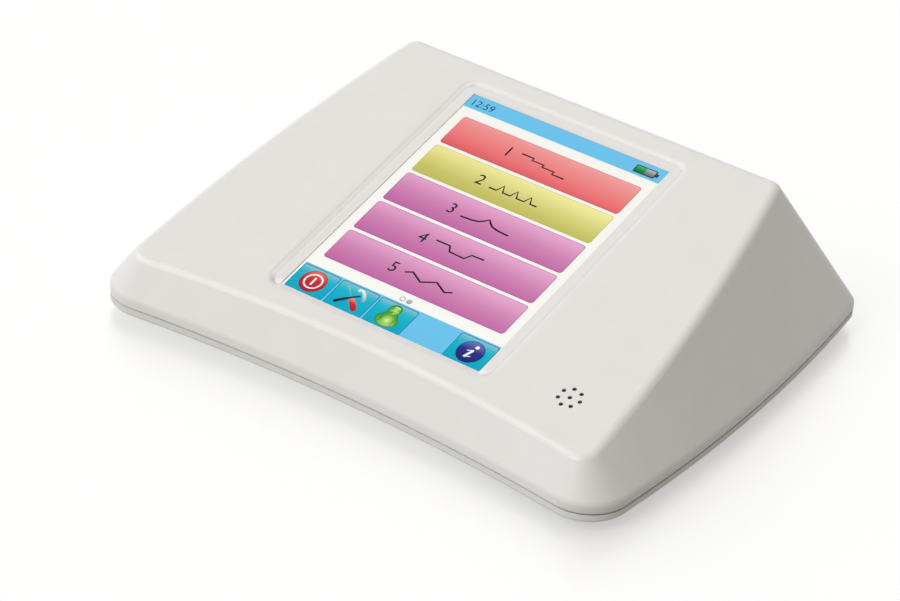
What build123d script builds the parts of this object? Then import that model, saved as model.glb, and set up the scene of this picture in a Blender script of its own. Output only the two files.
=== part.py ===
from build123d import *

import os
from math import cos, radians, sin

# Desktop tympanometer: a wedge-shaped housing with a touch screen in its sloping top, and the air pump,
# boards, battery, loudspeaker and sockets that it holds. Millimetres, +X to the user's right, +Y to the
# back, +Z up. The origin is on the table, under the middle of the housing.

os.makedirs("parts", exist_ok=True)

# Fits and gaps
slip = 0.3
seat = 0.05
running = 0.06

# Housing walls and levels
wall = 2.6
foot_height = 4.0
tray_height = 3.0
tray_floor = 2.4
tray_inset = 0.1
tray_round = 1.2
seam_gap = 0.4
tongue_height = 2.2
tongue_wall = 1.6
skirt_height = 3.6
tray_top = foot_height + tray_height
floor_z = foot_height + tray_floor
skirt_z = tray_top + seam_gap
wall_z = skirt_z + skirt_height

# Plan of the skirt: bowed-in front, bowed-out sides, straight back
front_lean = 7.1
front_side = 110.0
front_corner_lean = 8.3
side_half = 112.4
side_half_y = -29.5
rear_side = 101.5
rear_edge = 89.45
front_corner_radius = 16.0
rear_corner_radius = 5.5

# Sloping top, measured in its own plane from the middle of the screen
slope = 16.0
top_y = -11.0
top_z = 45.0
rear_band = 9.0
crest_side = 81.5
middle_side = 94.5
middle_v = -2.0
crease_side = 100.0
front_band = 7.7
crease_bow = 7.0
crest_radius = 5.0
crease_radius = 6.0
ridge_round = 3.6
skirt_round = 3.0
rim_round = 0.6

# Screen
screen_width = 86.4
screen_height = 115.2
recess_side = 5.8
recess_end = 4.1
recess_shift = 1.2
recess_depth = 1.1
recess_corner = 5.0
recess_taper = 48
recess_round = 1.5
window_lip = 0.6
window_margin = 0.3
gasket_thickness = 0.3
gasket_band = 3.3
glass_side = 4.3
glass_end = 4.4
glass_thickness = 1.4
module_side = 3.3
module_end = 3.4
module_thickness = 6.0
bracket_thickness = 1.0
bracket_ear = 8.0
bracket_short = 2.0
bracket_band = 9.0
post_inset = 3.0
post_setback = 13.0
post_radius = 3.4
glass_depth = recess_depth + window_lip + gasket_thickness
module_depth = glass_depth + glass_thickness
bracket_depth = module_depth + module_thickness

# Loudspeaker behind its ring of holes
speaker_u = 78.0
speaker_v = -53.1
speaker_ring = 4.1
speaker_holes = 7
speaker_hole_radius = 0.8
speaker_radius = 10.0
speaker_rim = 1.2
speaker_seal = 0.8
speaker_depth = 4.6
magnet_radius = 5.5
magnet_depth = 2.6
speaker_collar_radius = 11.8
speaker_collar_depth = 6.0

# Screws, bosses and inserts that close the housing
boss_radius = 4.4
boss_x = 92.0
front_boss_y = -71.0
rear_boss_y = 66.0
insert_radius = 2.2
insert_length = 6.0
screw_radius = 1.4
screw_head_radius = 2.8
screw_head_height = 2.0
screw_length = 11.0
cross_length = 2.6
cross_width = 0.7
cross_depth = 0.6

# Feet
foot_radius = 6.5
foot_x = 82.0
front_foot_y = -63.0
rear_foot_y = 60.0
foot_recess = 0.8

# Battery bay on the right
battery_x = 73.0
battery_rear = 42.0
battery_width = 38.0
battery_length = 66.0
battery_height = 18.0
bay_wall = 1.6
bay_wall_height = 10.0
bay_ledge = 1.6
cover_thickness = 1.8
cover_lip = 3.0
battery_z = foot_height + cover_thickness + slip

# Rear niche and socket panel
niche_side = 11.0
niche_top = 34.5
niche_wall = 2.2
niche_reach = 20.0
panel_face = 73.0
panel_thickness = 2.0
panel_ledge = 2.0
ledge_side = 5.0
ledge_top = 2.0
socket_z = 20.5
panel_screw_inset = 2.5

# Sockets, from left to right seen from the front
probe_pitch = 30.0
jack_x = -4.0
jack_pitch = 20.0
socket_pitch = 14.0
button_inset = 11.0

# Air pump: stations along Y, on an axis through the air nozzle
pump_z = socket_z
pump_gap = 0.5
stroke = 9.0
motor_radius = 6.0
motor_length = 16.0
gearbox_length = 9.0
motor_plate_y = -34.0
plate_thickness = 2.5
coupler_length = 8.0
coupler_radius = 4.0
rod_radius = 1.5
carriage_length = 8.0
carriage_width = 22.0
carriage_height = 10.0
cylinder_plate_y = 7.5
cylinder_start = 10.0
cylinder_length = 30.0
cylinder_radius = 10.0
bore_radius = 8.0
piston_radius = 7.9
piston_rod_radius = 4.2
piston_length = 6.0
seal_radius = 0.9
seal_sides = 10
guide_radius = 1.25
guide_x = 8.2
head_length = 12.0
head_width = 22.0
barb_radius = 2.0
barb_bore = 1.0
cradle_thickness = 2.0
cradle_z = 8.2

# Bleed valve on the pump head
valve_radius = 6.0
valve_height = 14.0
valve_travel = 1.0
plunger_radius = 2.2
valve_flange = 1.2

# Boards
board_z = 9.0
board_thickness = 1.6
board_left = -46.0
board_right = 46.0
board_front = -62.0
board_rear = 38.0
hole_inset = 4.0
standoff_radius = 3.2
socket_board_left = -18.0
socket_board_end = 6.0
socket_board_front = 45.0
socket_board_rear = 66.0
socket_board_z = 12.4
standoff_hole = 3.6

# Small screws that hold the boards, the bracket, the pump and the socket panel
small_screw_radius = 1.1
small_head_radius = 2.1
small_head_height = 1.3
small_screw_length = 5.0
cradle_screw_x = 7.5
cradle_screw_inset = 5.5
tie_offset = 9.2
tie_radius = 1.0

# Battery cover and small rounds
cover_corner = 3.0
cover_tab_radius = 4.6
cover_boss_height = 7.0
battery_round = 4.0
foot_chamfer = 0.6
screw_point = 0.4
glass_corner = 1.0
module_chamfer = 0.8
bracket_side = 12.0
basket_taper = 35
cone_depth = 2.2
cone_taper = 55
cone_wall = 0.4
board_corner = 1.5

# What stands on the main board: width, depth, height and place
chips = [
    (16.0, 16.0, 1.5, (0.0, -16.0)),
    (12.0, 9.0, 1.1, (22.0, -22.0)),
    (12.0, 9.0, 1.1, (22.0, -8.0)),
    (7.0, 7.0, 0.9, (-22.0, -12.0)),
    (5.0, 6.2, 1.2, (30.0, -38.0)),
]
header_height = 4.0
headers = [
    (26.0, 5.0, header_height, (0.0, -56.0)),
    (5.0, 12.0, header_height, (-40.0, -20.0)),
    (5.0, 10.0, header_height, (40.0, 6.0)),
    (28.0, 4.0, header_height, (18.0, 34.0)),
]
can_width = 28.0
can_depth = 22.0
can_height = 3.6
can_wall = 0.3
can_place = (-4.0, 14.0)
capacitor_radius = 3.2
capacitor_height = 7.0
capacitor_places = [(28.0, 12.0), (28.0, 20.0), (36.0, 20.0), (-30.0, -40.0)]
ribbon_depth = 6.4
ribbon_reach = 4.0
ribbon_header_front = -58.6
ribbon_bend = 1.8
ribbon_thickness = 0.3
ribbon_width = 22.0

# Sockets
panel_corner = 1.0
nozzle_barrel = 3.0
nozzle_barrel_length = 4.6
nozzle_flange = 4.6
nozzle_flange_thickness = 1.5
nozzle_spout = 7.0
nozzle_nut_radius = 4.5
nut_sides = 6
nozzle_nut_thickness = 2.2
barb_length = 6.0
probe_ring = 9.0
probe_ring_thickness = 3.0
probe_chamfer = 0.8
probe_barrel = 7.0
probe_barrel_length = 16.0
probe_bore = 5.0
probe_bore_depth = 7.0
probe_block_radius = 4.6
probe_block_length = 8.0
probe_nut_radius = 9.0
probe_nut_thickness = 2.4
contact_ring = 2.9
contact_count = 8
contact_radius = 0.5
contact_depth = 3.0
jack_width = 13.0
jack_length = 16.0
jack_barrel = 5.4
jack_barrel_length = 4.6
jack_bore = 3.2
jack_bore_depth = 13.0
jack_nut_radius = 7.4
jack_nut_thickness = 2.0
data_z = 16.3
data_width = 8.4
data_height = 4.6
data_length = 9.4
data_wall = 0.5
data_round = 0.8
data_bore_depth = 6.0
data_tongue_width = 4.8
data_tongue_height = 0.9
power_width = 9.0
power_length = 12.0
power_snout = 4.2
power_bore = 2.8
power_pin = 1.0
power_depth = 9.0
button_radius = 4.5
button_flange = 5.4
button_flange_thickness = 1.0
button_stem = 1.5
button_travel = 1.2
button_proud = 1.6
button_round = 0.6
switch_face = 65.2
switch_width = 9.0
switch_length = 8.0

# Small pieces of the pump and its valve
plate_half = 11.0
plate_round = 2.0
shaft_hole = 2.2
guide_seat = 1.5
cradle_head_radius = 2.1
cradle_head_height = 1.0
motor_boss = 2.0
motor_boss_length = 1.2
motor_chamfer = 0.6
gearbox_width = 12.0
gearbox_corner = 1.5
screw_tip = 7.0
set_screw_radius = 0.9
carriage_gap = 2.5
carriage_corner = 2.0
piston_gap = 5.0
groove_radius = 6.0
head_corner = 1.5
port_radius = 1.5
port_bore = 0.7
port_length = 5.0
sensor_port_z = 16.0
tie_head_radius = 1.7
valve_seat = 2.0
spring_height = 3.2
spring_turns = 3
spring_radius = 3.0
spring_wire = 0.3
wire_sides = 6
plunger_cap_radius = 3.6
plunger_cap = 1.4
sensor_place = (-32.0, 28.0)
sensor_width = 12.0
sensor_depth = 11.0
sensor_height = 8.0
sensor_tube_bend = 8.0
sensor_tube_wall = 0.8
nozzle_tube_wall = 1.1

# Values that follow from those above
recess_width = screen_width + 2 * recess_side
recess_height = screen_height + 2 * recess_end
glass_width = screen_width + 2 * glass_side
glass_height = screen_height + 2 * glass_end
module_width = screen_width + 2 * module_side
module_height = screen_height + 2 * module_end
bracket_width = module_width + 2 * bracket_ear
bracket_length = module_height - 2 * bracket_short
post_u = bracket_width / 2 - post_inset
post_v = module_height / 2 - post_setback
crest = recess_shift + recess_height / 2 + rear_band
crease_middle = recess_shift - recess_height / 2 - front_band
crease_corner = crease_middle - crease_bow
front_middle = top_y + crease_middle * cos(radians(slope)) - front_lean
front_corner_y = top_y + crease_corner * cos(radians(slope)) - front_corner_lean
pump_x = -(bracket_width / 2 + pump_gap + plate_half)
nozzle_x = pump_x
probe_x = nozzle_x + probe_pitch
niche_half = niche_side - nozzle_x
panel_screw_x = niche_half - panel_screw_inset
button_x = niche_half - button_inset
power_x = button_x - socket_pitch
data_x = power_x - socket_pitch
socket_board_right = button_x + socket_board_end
battery_y = battery_rear - battery_length / 2
motor_plate_end = motor_plate_y + plate_thickness
guide_length = cylinder_plate_y + guide_seat - motor_plate_end + guide_seat
panel_back = panel_face - panel_thickness
niche_rear = panel_back - panel_ledge
niche_box_width = 2 * (niche_half + niche_wall)
ledge_opening = 2 * (niche_half - ledge_side)
tongue_inset = wall + slip
cylinder_end = cylinder_start + cylinder_length
bay_width = battery_width + 2 * slip
bay_length = battery_length + 2 * slip
bay_middle = (battery_x, battery_y)
cover_opening = (bay_width + 2 * cover_lip, bay_length + 2 * cover_lip)
bay_ledge_z = foot_height + cover_thickness + seat
cover_screw_place = (battery_x, battery_y + bay_length / 2 + cover_lip)

# Planes that several pieces share
top_plane = Plane(
    origin=(0, top_y, top_z),
    x_dir=(1, 0, 0),
    z_dir=(0, -sin(radians(slope)), cos(radians(slope))),
)


def below_top(depth):
    """Plane parallel to the sloping top, the given depth under it."""
    return top_plane.offset(-depth)


def speaker_plane(depth):
    """Plane parallel to the top, centred on the loudspeaker, the given depth under it."""
    middle = below_top(depth).from_local_coords((speaker_u, speaker_v, 0))
    return Plane(origin=middle, x_dir=top_plane.x_dir, z_dir=top_plane.z_dir)


def outline(plane, front, side, rear, front_middle_y, radii, inset):
    """Plan with a bowed-in front, bowed-out sides and a straight back, drawn in by an inset.

    front, side and rear are the points at the right-hand corner, the bulge and the rear corner.
    """
    front_x = front[0] - inset
    front_y = front[1] + inset
    side_x = side[0] - inset
    rear_x = rear[0] - inset
    rear_y = rear[1] - inset
    with BuildSketch(plane) as sketch:
        with BuildLine():
            ThreePointArc((-front_x, front_y), (0, front_middle_y + inset), (front_x, front_y))
            ThreePointArc((front_x, front_y), (side_x, side[1]), (rear_x, rear_y))
            Line((rear_x, rear_y), (-rear_x, rear_y))
            ThreePointArc((-rear_x, rear_y), (-side_x, side[1]), (-front_x, front_y))
        make_face()
        fillet(sketch.vertices().group_by(Axis.Y)[0], radius=radii[0] - inset)
        fillet(sketch.vertices().group_by(Axis.Y)[-1], radius=radii[1] - inset)
    return sketch.sketch


def skirt_outline(height, inset=0.0):
    """Plan of the skirt at a height, drawn in by an inset."""
    return outline(
        Plane.XY.offset(height), (front_side, front_corner_y), (side_half, side_half_y),
        (rear_side, rear_edge), front_middle, (front_corner_radius, rear_corner_radius), inset,
    )


def top_outline(depth, inset=0.0):
    """Outline of the sloping top at a depth under it, drawn in by an inset."""
    return outline(
        below_top(depth), (crease_side, crease_corner), (middle_side, middle_v),
        (crest_side, crest), crease_middle, (crease_radius, crest_radius), inset,
    )


def rounds(plane, radius, places=((0, 0),)):
    """Circles of one radius at the given places on a plane."""
    with BuildSketch(plane) as sketch:
        with Locations(*places):
            Circle(radius)
    return sketch.sketch


def blocks(plane, width, depth, places=((0, 0),)):
    """Rectangles of one size, centred on the given places on a plane."""
    with BuildSketch(plane) as sketch:
        with Locations(*places):
            Rectangle(width, depth)
    return sketch.sketch


def crosses(plane, places=((0, 0),)):
    """Cross-shaped screwdriver recesses at the given places on a plane."""
    with BuildSketch(plane) as sketch:
        with Locations(*places):
            Rectangle(cross_length, cross_width)
            Rectangle(cross_width, cross_length)
    return sketch.sketch


def level(height):
    """Horizontal plane at a height over the table."""
    return Plane.XY.offset(height)


def facing_back(x, y, z):
    """Plane square to +Y at a point; its own y is world Z and its own x is world -X."""
    return Plane(origin=(x, y, z), x_dir=(-1, 0, 0), z_dir=(0, 1, 0))


def facing_right(x, y, z):
    """Plane square to +X at a point; its own x is world Y."""
    return Plane(origin=(x, y, z), x_dir=(0, 1, 0), z_dir=(1, 0, 0))


def finish(builder, label):
    """Name a finished piece and write its file."""
    builder.part.label = label
    export_step(builder.part, f"parts/{label}.step")


# Places that repeat
boss_places = [(x, y) for x in (-boss_x, boss_x) for y in (front_boss_y, rear_boss_y)]
foot_places = [(x, y) for x in (-foot_x, foot_x) for y in (front_foot_y, rear_foot_y)]
post_places = [(u, v) for u in (-post_u, post_u) for v in (-post_v, post_v)]
board_middle = ((board_left + board_right) / 2, (board_front + board_rear) / 2)
board_size = (board_right - board_left, board_rear - board_front)
board_places = [
    (x, y)
    for x in (board_left + hole_inset, board_right - hole_inset)
    for y in (board_front + hole_inset, board_rear - hole_inset)
]
socket_board_middle = (
    (socket_board_left + socket_board_right) / 2,
    (socket_board_front + socket_board_rear) / 2,
)
socket_board_size = (
    socket_board_right - socket_board_left,
    socket_board_rear - socket_board_front,
)
socket_board_places = [
    (x, socket_board_front + hole_inset)
    for x in (socket_board_left + hole_inset, socket_board_right - hole_inset)
]
cradle_places = [
    (pump_x + side * cradle_screw_x, y)
    for side in (-1, 1)
    for y in (motor_plate_y + cradle_screw_inset, cylinder_plate_y - cradle_screw_inset)
]
tie_places = [(u, w) for u in (-tie_offset, tie_offset) for w in (-tie_offset, tie_offset)]
jack_places = [jack_x, jack_x + jack_pitch]

# Outer form of the upper housing: skirt, leaning walls and sloping top with its recess for the screen
with BuildPart() as body_form:
    extrude(skirt_outline(skirt_z), amount=skirt_height)
    loft(sections=[skirt_outline(wall_z).face(), top_outline(0).face()], ruled=True)
    fillet(body_form.faces().sort_by(Axis.Z)[-1].edges(), radius=ridge_round)
    fillet(body_form.edges().filter_by_position(Axis.Z, wall_z, wall_z), radius=skirt_round)
    fillet(body_form.faces().sort_by(Axis.Z)[0].edges(), radius=rim_round)
    with BuildSketch(top_plane):
        with Locations((0, recess_shift)):
            RectangleRounded(recess_width, recess_height, recess_corner)
    extrude(amount=-recess_depth, taper=recess_taper, mode=Mode.SUBTRACT)
    top_face = body_form.faces().filter_by(top_plane).sort_by(Axis(top_plane.origin, top_plane.z_dir))[-1]
    fillet(top_face.inner_wires()[0].edges(), radius=recess_round)

# Hollow inside it, open towards the tray
with BuildPart() as hollow:
    extrude(skirt_outline(skirt_z, wall), amount=skirt_height)
    loft(sections=[skirt_outline(wall_z, wall).face(), top_outline(wall, wall).face()], ruled=True)

# Bosses, bracket posts and the loudspeaker's collar, as far as they reach under the top
with BuildPart() as bosses:
    extrude(rounds(level(skirt_z), boss_radius, boss_places), amount=top_z)
    extrude(rounds(below_top(bracket_depth), post_radius, post_places), amount=bracket_depth)
    extrude(rounds(speaker_plane(speaker_collar_depth), speaker_collar_radius), amount=speaker_collar_depth)
    extrude(
        rounds(speaker_plane(speaker_collar_depth), speaker_radius + slip),
        amount=speaker_collar_depth - wall,
        mode=Mode.SUBTRACT,
    )
    add(body_form.part, mode=Mode.INTERSECT)

# Box round the rear niche, with a ledge that the socket panel rests on
with BuildPart() as niche_box:
    extrude(
        blocks(level(skirt_z), niche_box_width, 2 * niche_reach, [(0, niche_rear + niche_reach)]),
        amount=niche_top + niche_wall - skirt_z,
    )
    add(body_form.part, mode=Mode.INTERSECT)
with BuildPart() as niche_cut:
    extrude(
        blocks(level(tray_top), 2 * niche_half, 2 * niche_reach, [(0, panel_back + niche_reach)]),
        amount=niche_top - tray_top,
    )
    extrude(
        blocks(level(tray_top), ledge_opening, 2 * niche_reach, [(0, niche_rear + niche_reach)]),
        amount=niche_top - tray_top - ledge_top,
    )

# Upper housing: window for the screen, speaker holes, screw holes
with BuildPart() as upper_shell:
    add(body_form.part)
    add(hollow.part, mode=Mode.SUBTRACT)
    add(bosses.part)
    add(niche_box.part)
    add(niche_cut.part, mode=Mode.SUBTRACT)
    extrude(
        blocks(top_plane, screen_width + 2 * window_margin, screen_height + 2 * window_margin),
        amount=-2 * wall,
        mode=Mode.SUBTRACT,
    )
    extrude(
        blocks(below_top(recess_depth + window_lip), glass_width + slip, glass_height + slip),
        amount=-2 * wall,
        mode=Mode.SUBTRACT,
    )
    with BuildSketch(speaker_plane(0)):
        Circle(speaker_hole_radius)
        with PolarLocations(speaker_ring, speaker_holes):
            Circle(speaker_hole_radius)
    extrude(amount=-2 * wall, mode=Mode.SUBTRACT)
    extrude(
        rounds(level(skirt_z), insert_radius + seat, boss_places), amount=insert_length, mode=Mode.SUBTRACT
    )
    extrude(rounds(level(skirt_z), screw_radius + slip, boss_places), amount=screw_length, mode=Mode.SUBTRACT)
    extrude(
        rounds(below_top(bracket_depth), small_screw_radius, post_places),
        amount=small_screw_length - bracket_thickness,
        mode=Mode.SUBTRACT,
    )
    for side in (-1, 1):
        extrude(
            rounds(facing_back(side * panel_screw_x, niche_rear, socket_z), small_screw_radius),
            amount=panel_ledge,
            mode=Mode.SUBTRACT,
        )
finish(upper_shell, "upper_shell")

# Tray under it: floor, rim with a tongue, pillars, standoffs, battery bay and deck of the niche
with BuildPart() as tray_form:
    extrude(skirt_outline(foot_height, tray_inset), amount=tray_height)
    fillet(tray_form.faces().sort_by(Axis.Z)[0].edges(), radius=tray_round)
with BuildPart() as lower_shell:
    add(tray_form.part)
    extrude(skirt_outline(floor_z, tongue_inset + tongue_wall), amount=tray_height, mode=Mode.SUBTRACT)
    with BuildSketch(level(tray_top)):
        add(skirt_outline(0, tongue_inset))
        add(skirt_outline(0, tongue_inset + tongue_wall), mode=Mode.SUBTRACT)
    extrude(amount=seam_gap + tongue_height)
    extrude(
        blocks(
            level(tray_top), niche_box_width + 2 * slip, 2 * niche_reach,
            [(0, niche_rear - slip + niche_reach)],
        ),
        amount=tray_height,
        mode=Mode.SUBTRACT,
    )
    with BuildSketch(level(floor_z - seat)):
        add(skirt_outline(0, tongue_inset))
        add(
            blocks(Plane.XY, niche_box_width, 2 * niche_reach, [(0, niche_rear + niche_reach)]),
            mode=Mode.INTERSECT,
        )
    extrude(amount=tray_top - floor_z + seat)
    extrude(rounds(level(floor_z - seat), boss_radius, boss_places), amount=skirt_z - floor_z + seat)
    extrude(rounds(level(floor_z - seat), standoff_radius, board_places), amount=board_z - floor_z + seat)
    extrude(
        rounds(level(floor_z - seat), standoff_radius, socket_board_places),
        amount=socket_board_z - floor_z + seat,
    )
    extrude(rounds(level(floor_z - seat), standoff_radius, cradle_places), amount=cradle_z - floor_z + seat)
    extrude(
        blocks(
            level(foot_height), cover_opening[0] + 2 * bay_wall, cover_opening[1] + 2 * bay_wall, [bay_middle]
        ),
        amount=bay_ledge_z - foot_height + bay_ledge,
    )
    extrude(
        blocks(level(floor_z), bay_width + 2 * bay_wall, bay_length + 2 * bay_wall, [bay_middle]),
        amount=bay_wall_height,
    )
    extrude(
        rounds(level(foot_height), cover_tab_radius + bay_wall, [cover_screw_place]), amount=cover_boss_height
    )
    extrude(
        blocks(level(foot_height), *cover_opening, [bay_middle]),
        amount=bay_ledge_z - foot_height,
        mode=Mode.SUBTRACT,
    )
    extrude(
        rounds(level(foot_height), cover_tab_radius + slip, [cover_screw_place]),
        amount=bay_ledge_z - foot_height,
        mode=Mode.SUBTRACT,
    )
    extrude(
        blocks(level(foot_height), bay_width, bay_length, [bay_middle]), amount=top_z, mode=Mode.SUBTRACT
    )
    extrude(
        rounds(level(foot_height), screw_head_radius + slip, boss_places),
        amount=screw_head_height + seat,
        mode=Mode.SUBTRACT,
    )
    extrude(rounds(level(foot_height), screw_radius + slip, boss_places), amount=top_z, mode=Mode.SUBTRACT)
    extrude(
        rounds(level(foot_height), foot_radius + seat, foot_places), amount=foot_recess, mode=Mode.SUBTRACT
    )
    for places, height in (
        (board_places, board_z), (socket_board_places, socket_board_z), (cradle_places, cradle_z),
    ):
        extrude(
            rounds(level(height), small_screw_radius, places), amount=-standoff_hole, mode=Mode.SUBTRACT
        )
    extrude(
        rounds(level(foot_height), small_screw_radius, [cover_screw_place]), amount=top_z, mode=Mode.SUBTRACT
    )
finish(lower_shell, "lower_shell")

# Underside: battery cover with its screw, feet and housing screws
with BuildPart() as battery_cover:
    extrude(
        blocks(level(foot_height), cover_opening[0] - 2 * slip, cover_opening[1] - 2 * slip, [bay_middle]),
        amount=cover_thickness,
    )
    fillet(battery_cover.edges().filter_by(Axis.Z), radius=cover_corner)
    extrude(rounds(level(foot_height), cover_tab_radius, [cover_screw_place]), amount=cover_thickness)
    extrude(
        rounds(level(foot_height), small_head_radius + slip, [cover_screw_place]),
        amount=cover_thickness / 2,
        mode=Mode.SUBTRACT,
    )
    extrude(
        rounds(level(foot_height), small_screw_radius + seat, [cover_screw_place]),
        amount=cover_thickness,
        mode=Mode.SUBTRACT,
    )
finish(battery_cover, "battery_cover")

with BuildPart() as cover_screw:
    extrude(rounds(level(foot_height), small_head_radius, [cover_screw_place]), amount=cover_thickness / 2)
    extrude(
        rounds(level(foot_height), small_screw_radius - seat, [cover_screw_place]), amount=small_screw_length
    )
    extrude(crosses(level(foot_height), [cover_screw_place]), amount=cross_depth, mode=Mode.SUBTRACT)
finish(cover_screw, "battery_cover_screw")

with BuildPart() as battery_pack:
    extrude(blocks(level(battery_z), battery_width, battery_length, [bay_middle]), amount=battery_height)
    fillet(battery_pack.edges().filter_by(Axis.Y), radius=battery_round)
finish(battery_pack, "battery_pack")

with BuildPart() as rubber_feet:
    extrude(rounds(level(0), foot_radius, foot_places), amount=foot_height + foot_recess)
    chamfer(rubber_feet.faces().group_by(Axis.Z)[0].edges(), length=foot_chamfer)
finish(rubber_feet, "rubber_feet")

with BuildPart() as housing_screws:
    extrude(rounds(level(foot_height), screw_head_radius, boss_places), amount=screw_head_height)
    extrude(rounds(level(foot_height), screw_radius, boss_places), amount=screw_length)
    chamfer(housing_screws.faces().group_by(Axis.Z)[-1].edges(), length=screw_point)
    extrude(crosses(level(foot_height), boss_places), amount=cross_depth, mode=Mode.SUBTRACT)
finish(housing_screws, "housing_screws")

with BuildPart() as threaded_inserts:
    extrude(rounds(level(skirt_z), insert_radius, boss_places), amount=insert_length)
    extrude(
        rounds(level(skirt_z), screw_radius + seat, boss_places), amount=insert_length, mode=Mode.SUBTRACT
    )
finish(threaded_inserts, "threaded_inserts")

# Screen: gasket, touch panel, display module, bracket and its screws
with BuildPart() as screen_gasket:
    with BuildSketch(below_top(glass_depth)):
        Rectangle(screen_width + 2 * gasket_band, screen_height + 2 * gasket_band)
        Rectangle(
            screen_width + 2 * (window_margin + slip), screen_height + 2 * (window_margin + slip),
            mode=Mode.SUBTRACT,
        )
    extrude(amount=gasket_thickness)
finish(screen_gasket, "screen_gasket")

with BuildPart() as touch_panel:
    with BuildSketch(below_top(glass_depth)):
        RectangleRounded(glass_width, glass_height, glass_corner)
    extrude(amount=-glass_thickness)
finish(touch_panel, "touch_panel")

with BuildPart() as display_module:
    with BuildSketch(below_top(module_depth)):
        RectangleRounded(module_width, module_height, glass_corner)
    extrude(amount=-module_thickness)
    module_back = display_module.faces().filter_by(top_plane).sort_by(Axis.Z)[0]
    chamfer(module_back.edges(), length=module_chamfer)
finish(display_module, "display_module")

with BuildPart() as display_bracket:
    with BuildSketch(below_top(bracket_depth)):
        RectangleRounded(bracket_width, bracket_length, post_radius)
        Rectangle(bracket_width - 2 * bracket_side, bracket_length - 2 * bracket_band, mode=Mode.SUBTRACT)
        with Locations(*post_places):
            Circle(small_screw_radius + seat, mode=Mode.SUBTRACT)
    extrude(amount=-bracket_thickness)
finish(display_bracket, "display_bracket")

with BuildPart() as bracket_screws:
    extrude(
        rounds(below_top(bracket_depth + bracket_thickness), small_head_radius, post_places),
        amount=-small_head_height,
    )
    extrude(
        rounds(below_top(bracket_depth + bracket_thickness), small_screw_radius - seat, post_places),
        amount=small_screw_length - slip,
    )
finish(bracket_screws, "bracket_screws")

# Loudspeaker: seal, frame with basket and magnet, cone
speaker_face = wall + speaker_seal
with BuildPart() as speaker_gasket:
    with BuildSketch(speaker_plane(speaker_face)):
        Circle(speaker_radius)
        Circle(speaker_radius - speaker_rim, mode=Mode.SUBTRACT)
    extrude(amount=speaker_seal)
finish(speaker_gasket, "speaker_gasket")

with BuildPart() as speaker_frame:
    extrude(rounds(speaker_plane(speaker_face), speaker_radius), amount=-speaker_rim)
    extrude(
        rounds(speaker_plane(speaker_face + speaker_rim), speaker_radius - slip),
        amount=-speaker_depth,
        taper=basket_taper,
    )
    extrude(
        rounds(speaker_plane(speaker_face), speaker_radius - speaker_rim),
        amount=-speaker_depth,
        taper=basket_taper,
        mode=Mode.SUBTRACT,
    )
    extrude(
        rounds(speaker_plane(speaker_face + speaker_rim + speaker_depth), magnet_radius), amount=-magnet_depth
    )
finish(speaker_frame, "speaker_frame")

with BuildPart() as speaker_cone:
    extrude(
        rounds(speaker_plane(speaker_face), speaker_radius - speaker_rim - slip),
        amount=-cone_depth,
        taper=cone_taper,
    )
    extrude(
        rounds(speaker_plane(speaker_face - cone_wall), speaker_radius - speaker_rim - slip),
        amount=-cone_depth,
        taper=cone_taper,
        mode=Mode.SUBTRACT,
    )
finish(speaker_cone, "speaker_cone")

# Main board with its chips, can, capacitors, plugs and screws
with BuildPart() as main_board:
    extrude(blocks(level(board_z), *board_size, [board_middle]), amount=board_thickness)
    fillet(main_board.edges().filter_by(Axis.Z), radius=board_corner)
    extrude(
        rounds(level(board_z), small_screw_radius + seat, board_places),
        amount=board_thickness,
        mode=Mode.SUBTRACT,
    )
finish(main_board, "main_board")

board_top = board_z + board_thickness
with BuildPart() as board_chips:
    for width, depth, height, place in chips:
        extrude(blocks(level(board_top), width, depth, [place]), amount=height)
finish(board_chips, "board_chips")

with BuildPart() as shield_can:
    extrude(blocks(level(board_top), can_width, can_depth, [can_place]), amount=can_height)
    fillet(shield_can.edges().filter_by(Axis.Z), radius=board_corner)
    extrude(
        blocks(level(board_top), can_width - 2 * can_wall, can_depth - 2 * can_wall, [can_place]),
        amount=can_height - can_wall,
        mode=Mode.SUBTRACT,
    )
finish(shield_can, "shield_can")

with BuildPart() as board_capacitors:
    extrude(rounds(level(board_top), capacitor_radius, capacitor_places), amount=capacitor_height)
finish(board_capacitors, "board_capacitors")

with BuildPart() as board_headers:
    for width, depth, height, place in headers:
        extrude(blocks(level(board_top), width, depth, [place]), amount=height)
finish(board_headers, "board_headers")

with BuildPart() as board_screws:
    extrude(rounds(level(board_top), small_head_radius, board_places), amount=small_head_height)
    extrude(rounds(level(board_top), small_screw_radius - seat, board_places), amount=-small_screw_length)
finish(board_screws, "board_screws")

# Flat cable from the display module round to the main board
ribbon_start = below_top(ribbon_depth).from_local_coords((0, -module_height / 2, 0))
ribbon_front = below_top(ribbon_depth).from_local_coords((0, -module_height / 2 - ribbon_reach, 0))
ribbon_height = board_top + header_height / 2
with BuildPart() as display_ribbon:
    with BuildSketch(Plane.YZ) as ribbon_profile:
        with BuildLine():
            FilletPolyline(
                (ribbon_start.Y, ribbon_start.Z),
                (ribbon_front.Y, ribbon_front.Z),
                (ribbon_front.Y, ribbon_height),
                (ribbon_header_front, ribbon_height),
                radius=ribbon_bend,
            )
        trace(line_width=ribbon_thickness)
    extrude(amount=ribbon_width / 2, both=True)
finish(display_ribbon, "display_ribbon")

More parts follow.
